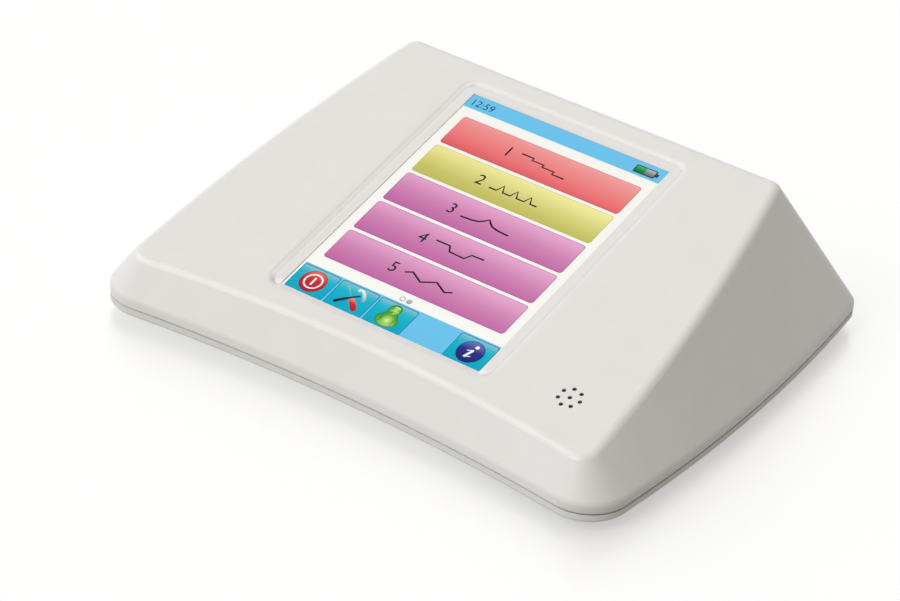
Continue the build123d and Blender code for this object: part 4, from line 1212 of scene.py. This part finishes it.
@dataclass
class Housing:
    """Housing shells, feet, battery with its cover, and what closes them."""

    shell: Rgb = paint(227, 225, 222)
    # The tray is lighter than the shell partly as painted light on its shaded side.
    tray: Rgb = paint(237, 234, 229)
    # Painted shade: the tray darkens in patches towards its lower edge.
    tray_painted_shade: Pair = (4.2, 5.6)

    def dress(self) -> None:
        """Dresses the housing's CAD nodes."""
        dress(ShellPlastic("shell_plastic", self.shell, 0.34, mottle=0.012, grain_size=0.5), "upper_shell")
        tray = MouldedPlastic(
            "tray_plastic", self.tray, 0.46, mottle=0.015, grain_size=0.5, dust_and_shade_reach=self.tray_painted_shade,
            dust_and_shade=0.35,
        )
        dress(tray, "lower_shell", "battery_cover")
        rubber = Finish("foot_rubber", (0.03, 0.03, 0.03), 0.82, grain_size=0.6, grain_depth=0.04)
        dress(rubber, "rubber_feet")
        dress(
            BrushedMetal("zinc_screw", (0.6, 0.6, 0.58), 0.34, along=Axis.Z, mottle=0.12, mottle_size=2.0),
            "housing_screws", "battery_cover_screw", "bracket_screws", "board_screws", "socket_board_screws",
            "panel_screws", "cradle_screws", "tie_rods",
        )
        dress(Finish("insert_brass", (0.6, 0.42, 0.16), 0.35, 1.0, grain_size=0.2), "threaded_inserts")
        wrap = Finish(
            "battery_wrap", (0.02, 0.09, 0.32), 0.28, mottle_size=9.0, grain_size=3.0, grain_depth=0.12
        )
        dress(wrap, "battery_pack")


class Loudspeaker:
    """Small loudspeaker behind the ring of holes."""

    def dress(self) -> None:
        """Dresses the loudspeaker's CAD nodes."""
        dress(BrushedMetal("speaker_steel", (0.3, 0.3, 0.31), 0.4), "speaker_frame")
        foam = Finish("foam_ring", (0.03, 0.03, 0.03), 0.92, grain_size=0.3, grain_depth=0.06)
        dress(foam, "speaker_gasket")
        cone = Finish("coated_paper", (0.035, 0.035, 0.038), 0.75, grain_size=0.5, grain_depth=0.05)
        dress(cone, "speaker_cone")


class Boards:
    """Main board and socket board with what stands on them."""

    def dress(self) -> None:
        """Dresses the boards' CAD nodes."""
        board = Laminate("green_laminate", (0.012, 0.12, 0.045), 0.38, grain_depth=0.035)
        dress(board, "main_board", "socket_board")
        dress(Finish("chip_epoxy", (0.022, 0.022, 0.024), 0.55, grain_size=0.2), "board_chips")
        dress(Finish("header_nylon", (0.72, 0.69, 0.6), 0.5, grain_size=0.4), "board_headers")
        dress(BrushedMetal("tinned_can", (0.7, 0.7, 0.68), 0.32), "shield_can")
        dress(BrushedMetal("capacitor_sleeve", (0.45, 0.46, 0.5), 0.38, along=Axis.Z), "board_capacitors")
        dress(Finish("sensor_body", (0.05, 0.05, 0.055), 0.5, grain_size=0.3), "pressure_sensor")


@dataclass
class SocketPanel:
    """Panel in the rear niche with its sockets, nuts and power button."""

    nickel: Rgb = (0.72, 0.71, 0.68)
    socket_z: float = 20.5
    nozzle_x: float = -66.0
    probe_x: float = -36.0
    jack_x: float = 6.0

    def dress(self) -> None:
        """Dresses the panel's CAD nodes."""
        dress(Finish("panel_grey", paint(92, 93, 96), 0.5, mottle=0.03, grain_size=0.45), "rear_panel")
        black = Finish("socket_black", (0.025, 0.025, 0.028), 0.45, grain_size=0.3)
        dress(black, "earphone_jacks", "power_socket", "power_switch", "probe_contacts")
        dress(Finish("button_grey", paint(150, 152, 156), 0.4, grain_size=0.3), "power_button")
        turned = {
            "air_nozzle": self.nozzle_x, "nozzle_nut": self.nozzle_x, "probe_socket": self.probe_x,
            "probe_nut": self.probe_x, "jack_nuts": self.jack_x,
        }
        for node, across in turned.items():
            dress(TurnedMetal(f"turned_{node}", self.nickel, 0.24, centre=(across, self.socket_z)), node)
        dress(BrushedMetal("socket_shell", (0.68, 0.68, 0.67), 0.3, along=Axis.Y), "data_socket")


@dataclass
class AirPump:
    """Pump that makes the pressure, its bleed valve and its tubes."""

    axis: Pair = (-66.0, 20.5)

    def dress(self) -> None:
        """Dresses the pump's CAD nodes."""
        dress(BrushedMetal("anodised_frame", (0.55, 0.56, 0.58), 0.4, along=Axis.Y), "pump_frame")
        dress(BrushedMetal("motor_can", (0.6, 0.6, 0.6), 0.3, along=Axis.Y), "pump_motor")
        dress(Finish("gearbox_brass", (0.55, 0.4, 0.17), 0.34, 1.0, grain_size=0.2), "pump_gearbox")
        rod = TurnedMetal("ground_rod", (0.68, 0.68, 0.69), 0.2, centre=self.axis, pitch=0.4)
        dress(rod, "lead_screw", "guide_rods")
        dress(TurnedMetal("coupler_alloy", (0.68, 0.69, 0.71), 0.3, centre=self.axis), "screw_coupler")
        acetal = Finish("white_acetal", (0.74, 0.73, 0.69), 0.42, grain_size=0.3)
        dress(acetal, "carriage", "piston", "pump_head")
        dress(Finish("seal_rubber", (0.025, 0.025, 0.025), 0.6, grain_size=0.2), "piston_seal")
        dress(TurnedMetal("cylinder_alloy", (0.66, 0.67, 0.69), 0.25, centre=self.axis), "pump_cylinder")
        dress(Finish("coil_black", (0.03, 0.03, 0.034), 0.5, grain_size=0.4, grain_depth=0.04), "valve_body")
        dress(BrushedMetal("plunger_steel", (0.62, 0.62, 0.63), 0.26, along=Axis.Z), "valve_plunger")
        dress(BrushedMetal("spring_steel", (0.5, 0.5, 0.52), 0.3), "valve_spring")
        silicone = Finish("silicone_tube", (0.6, 0.6, 0.57), 0.4, grain_size=0.5)
        dress(silicone, "nozzle_tube", "sensor_tube")


@dataclass
class Studio:
    """Camera, pale floor and soft light. The camera's place and lens are in mm."""

    eye: Point = (626.61, -921.42, 681.13)
    right: Point = (0.79859, 0.59925, 0.0563)
    above: Point = (-0.34956, 0.3856, 0.85389)
    forward: Point = (-0.48997, 0.70159, -0.5174)
    lens: float = 144.16
    sensor: float = 36.0
    nearest: float = 0.05
    furthest: float = 50.0
    sun: float = 1.12
    sun_angle: float = 30.0
    sun_from: Point = (-0.3, -1.1, 1.0)
    sky: Rgb = (0.85, 0.85, 0.85)
    dim_sky: Rgb = (0.12, 0.08, 0.0)
    dim_reach: Pair = (-0.3, 1.37)
    mirrored: float = 1.0
    dim_mirrored: float = 0.1
    box_light: float = 4.5
    box_from: Point = (-0.7, -0.26, 0.665)
    box_reach: Pair = (0.93, 0.98)
    floor_size: float = 8.0
    floor_tint: Rgb = (1.0, 0.997, 0.99)
    floor_seen: float = 0.1
    floor_seen_right: float = 0.38
    floor_turn: Pair = (10.0, 110.0)
    floor_light: float = 0.913
    floor_bounce: float = 0.45
    sheen: float = 0.25
    sheen_roughness: float = 0.31

    def camera(self) -> None:
        """Places the camera as the photograph was taken, for a frame of 900 by 601."""
        data = bpy.data.cameras.new("camera")
        data.lens = self.lens
        data.sensor_fit = "HORIZONTAL"
        data.sensor_width = self.sensor
        data.clip_start = self.nearest
        data.clip_end = self.furthest
        camera = link("camera", data)
        turn = Matrix((Vector(self.right), Vector(self.above), -Vector(self.forward))).transposed()
        camera.matrix_world = Matrix.Translation(Vector(self.eye) * MM) @ turn.to_4x4()
        bpy.context.scene.camera = camera

    def paper(self) -> bpy.types.Material:
        """Pale paper, which keeps the object's shadow, mirrors it faintly and is clear from below.

        Returns:
            The material.
        """
        graph = Graph(bpy.data.materials.new("floor_paper"))
        shown = graph.ray("Camera", "Glossy", "Transmission")
        # Painted shade: towards the object's right the paper glows less and shows more of its lit shading,
        # which deepens the shadow there.
        rightward = graph.coordinate(Axis.X).rise(*self.floor_turn)
        seen = rightward * (self.floor_seen_right - self.floor_seen) + self.floor_seen
        level = shown * (seen - self.floor_bounce) + self.floor_bounce
        colour = graph.mix(level, (0.0, 0.0, 0.0), FULL)
        matt = graph.out("ShaderNodeBsdfDiffuse", 0, {}, {"Color": colour})
        strength = shown * (1 - seen * self.floor_light)
        glow = graph.out("ShaderNodeEmission", 0, {}, {"Color": self.floor_tint, "Strength": strength})
        plain = graph.out("ShaderNodeAddShader", 0, {}, {0: matt, 1: glow})
        gloss = graph.out("ShaderNodeBsdfGlossy", 0, {}, {"Color": FULL, "Roughness": self.sheen_roughness})
        clear = graph.out("ShaderNodeBsdfTransparent", 0, {}, {"Color": FULL})
        below = graph.out("ShaderNodeNewGeometry", "Backfacing", {}, {})
        paper = graph.join(graph.ray("Camera") * self.sheen, plain, gloss)
        return graph.close(graph.join(below, paper, clear))

    def floor(self) -> None:
        """Lays the floor."""
        shape = bmesh.new()
        bmesh.ops.create_grid(shape, x_segments=1, y_segments=1, size=self.floor_size / 2)
        mesh = bpy.data.meshes.new("floor")
        shape.to_mesh(mesh)
        shape.free()
        mesh.materials.append(self.paper())
        floor = link("floor", mesh)

    def world(self) -> None:
        """Lights the object from all round, less and warmer from its right, before a white background."""
        world = bpy.data.worlds.new("studio")
        bpy.context.scene.world = world
        graph = Graph(world)
        direction = graph.out("ShaderNodeTexCoord", "Generated", {}, {})
        rightward = graph.part(direction, Axis.X).rise(*self.dim_reach)
        sky = graph.mix(rightward, self.sky, self.dim_sky)
        bright, dim, light = ((level,) * 3 for level in (self.mirrored, self.dim_mirrored, self.box_light))
        box = graph.dot(direction, Vector(self.box_from)).rise(*self.box_reach)
        mirrored = graph.mix(box, graph.mix(rightward, bright, dim), light)
        around = graph.mix(graph.ray("Glossy"), sky, mirrored)
        colour = graph.mix(graph.ray("Camera", "Transmission"), around, FULL)
        shader = graph.out("ShaderNodeBackground", 0, {}, {"Color": colour})
        graph.node("ShaderNodeOutputWorld", {}, {"Surface": shader})

    def lamp(self) -> None:
        """Adds one soft sun from the front left."""
        sun = bpy.data.lights.new("soft_sun", "SUN")
        sun.energy = self.sun
        sun.angle = radians(self.sun_angle)
        holder = link("soft_sun", sun)
        holder.location = Vector(self.sun_from)
        holder.rotation_euler = Vector(self.sun_from).to_track_quat("Z", "Y").to_euler()

    def build(self) -> None:
        """Sets up the whole studio."""
        self.camera()
        self.floor()
        self.world()
        self.lamp()
        bpy.context.scene.view_settings.view_transform = "Standard"


def main() -> None:
    """Dresses the sub-assemblies in order, lays the picture and sets up the studio."""
    logging.basicConfig(level=logging.INFO, format="%(name)s: %(message)s")
    for assembly in (Housing(), Screen(), Loudspeaker(), Boards(), SocketPanel(), AirPump()):
        assembly.dress()
    Screen().build()
    Studio().build()


if __name__ == "__main__":
    main()
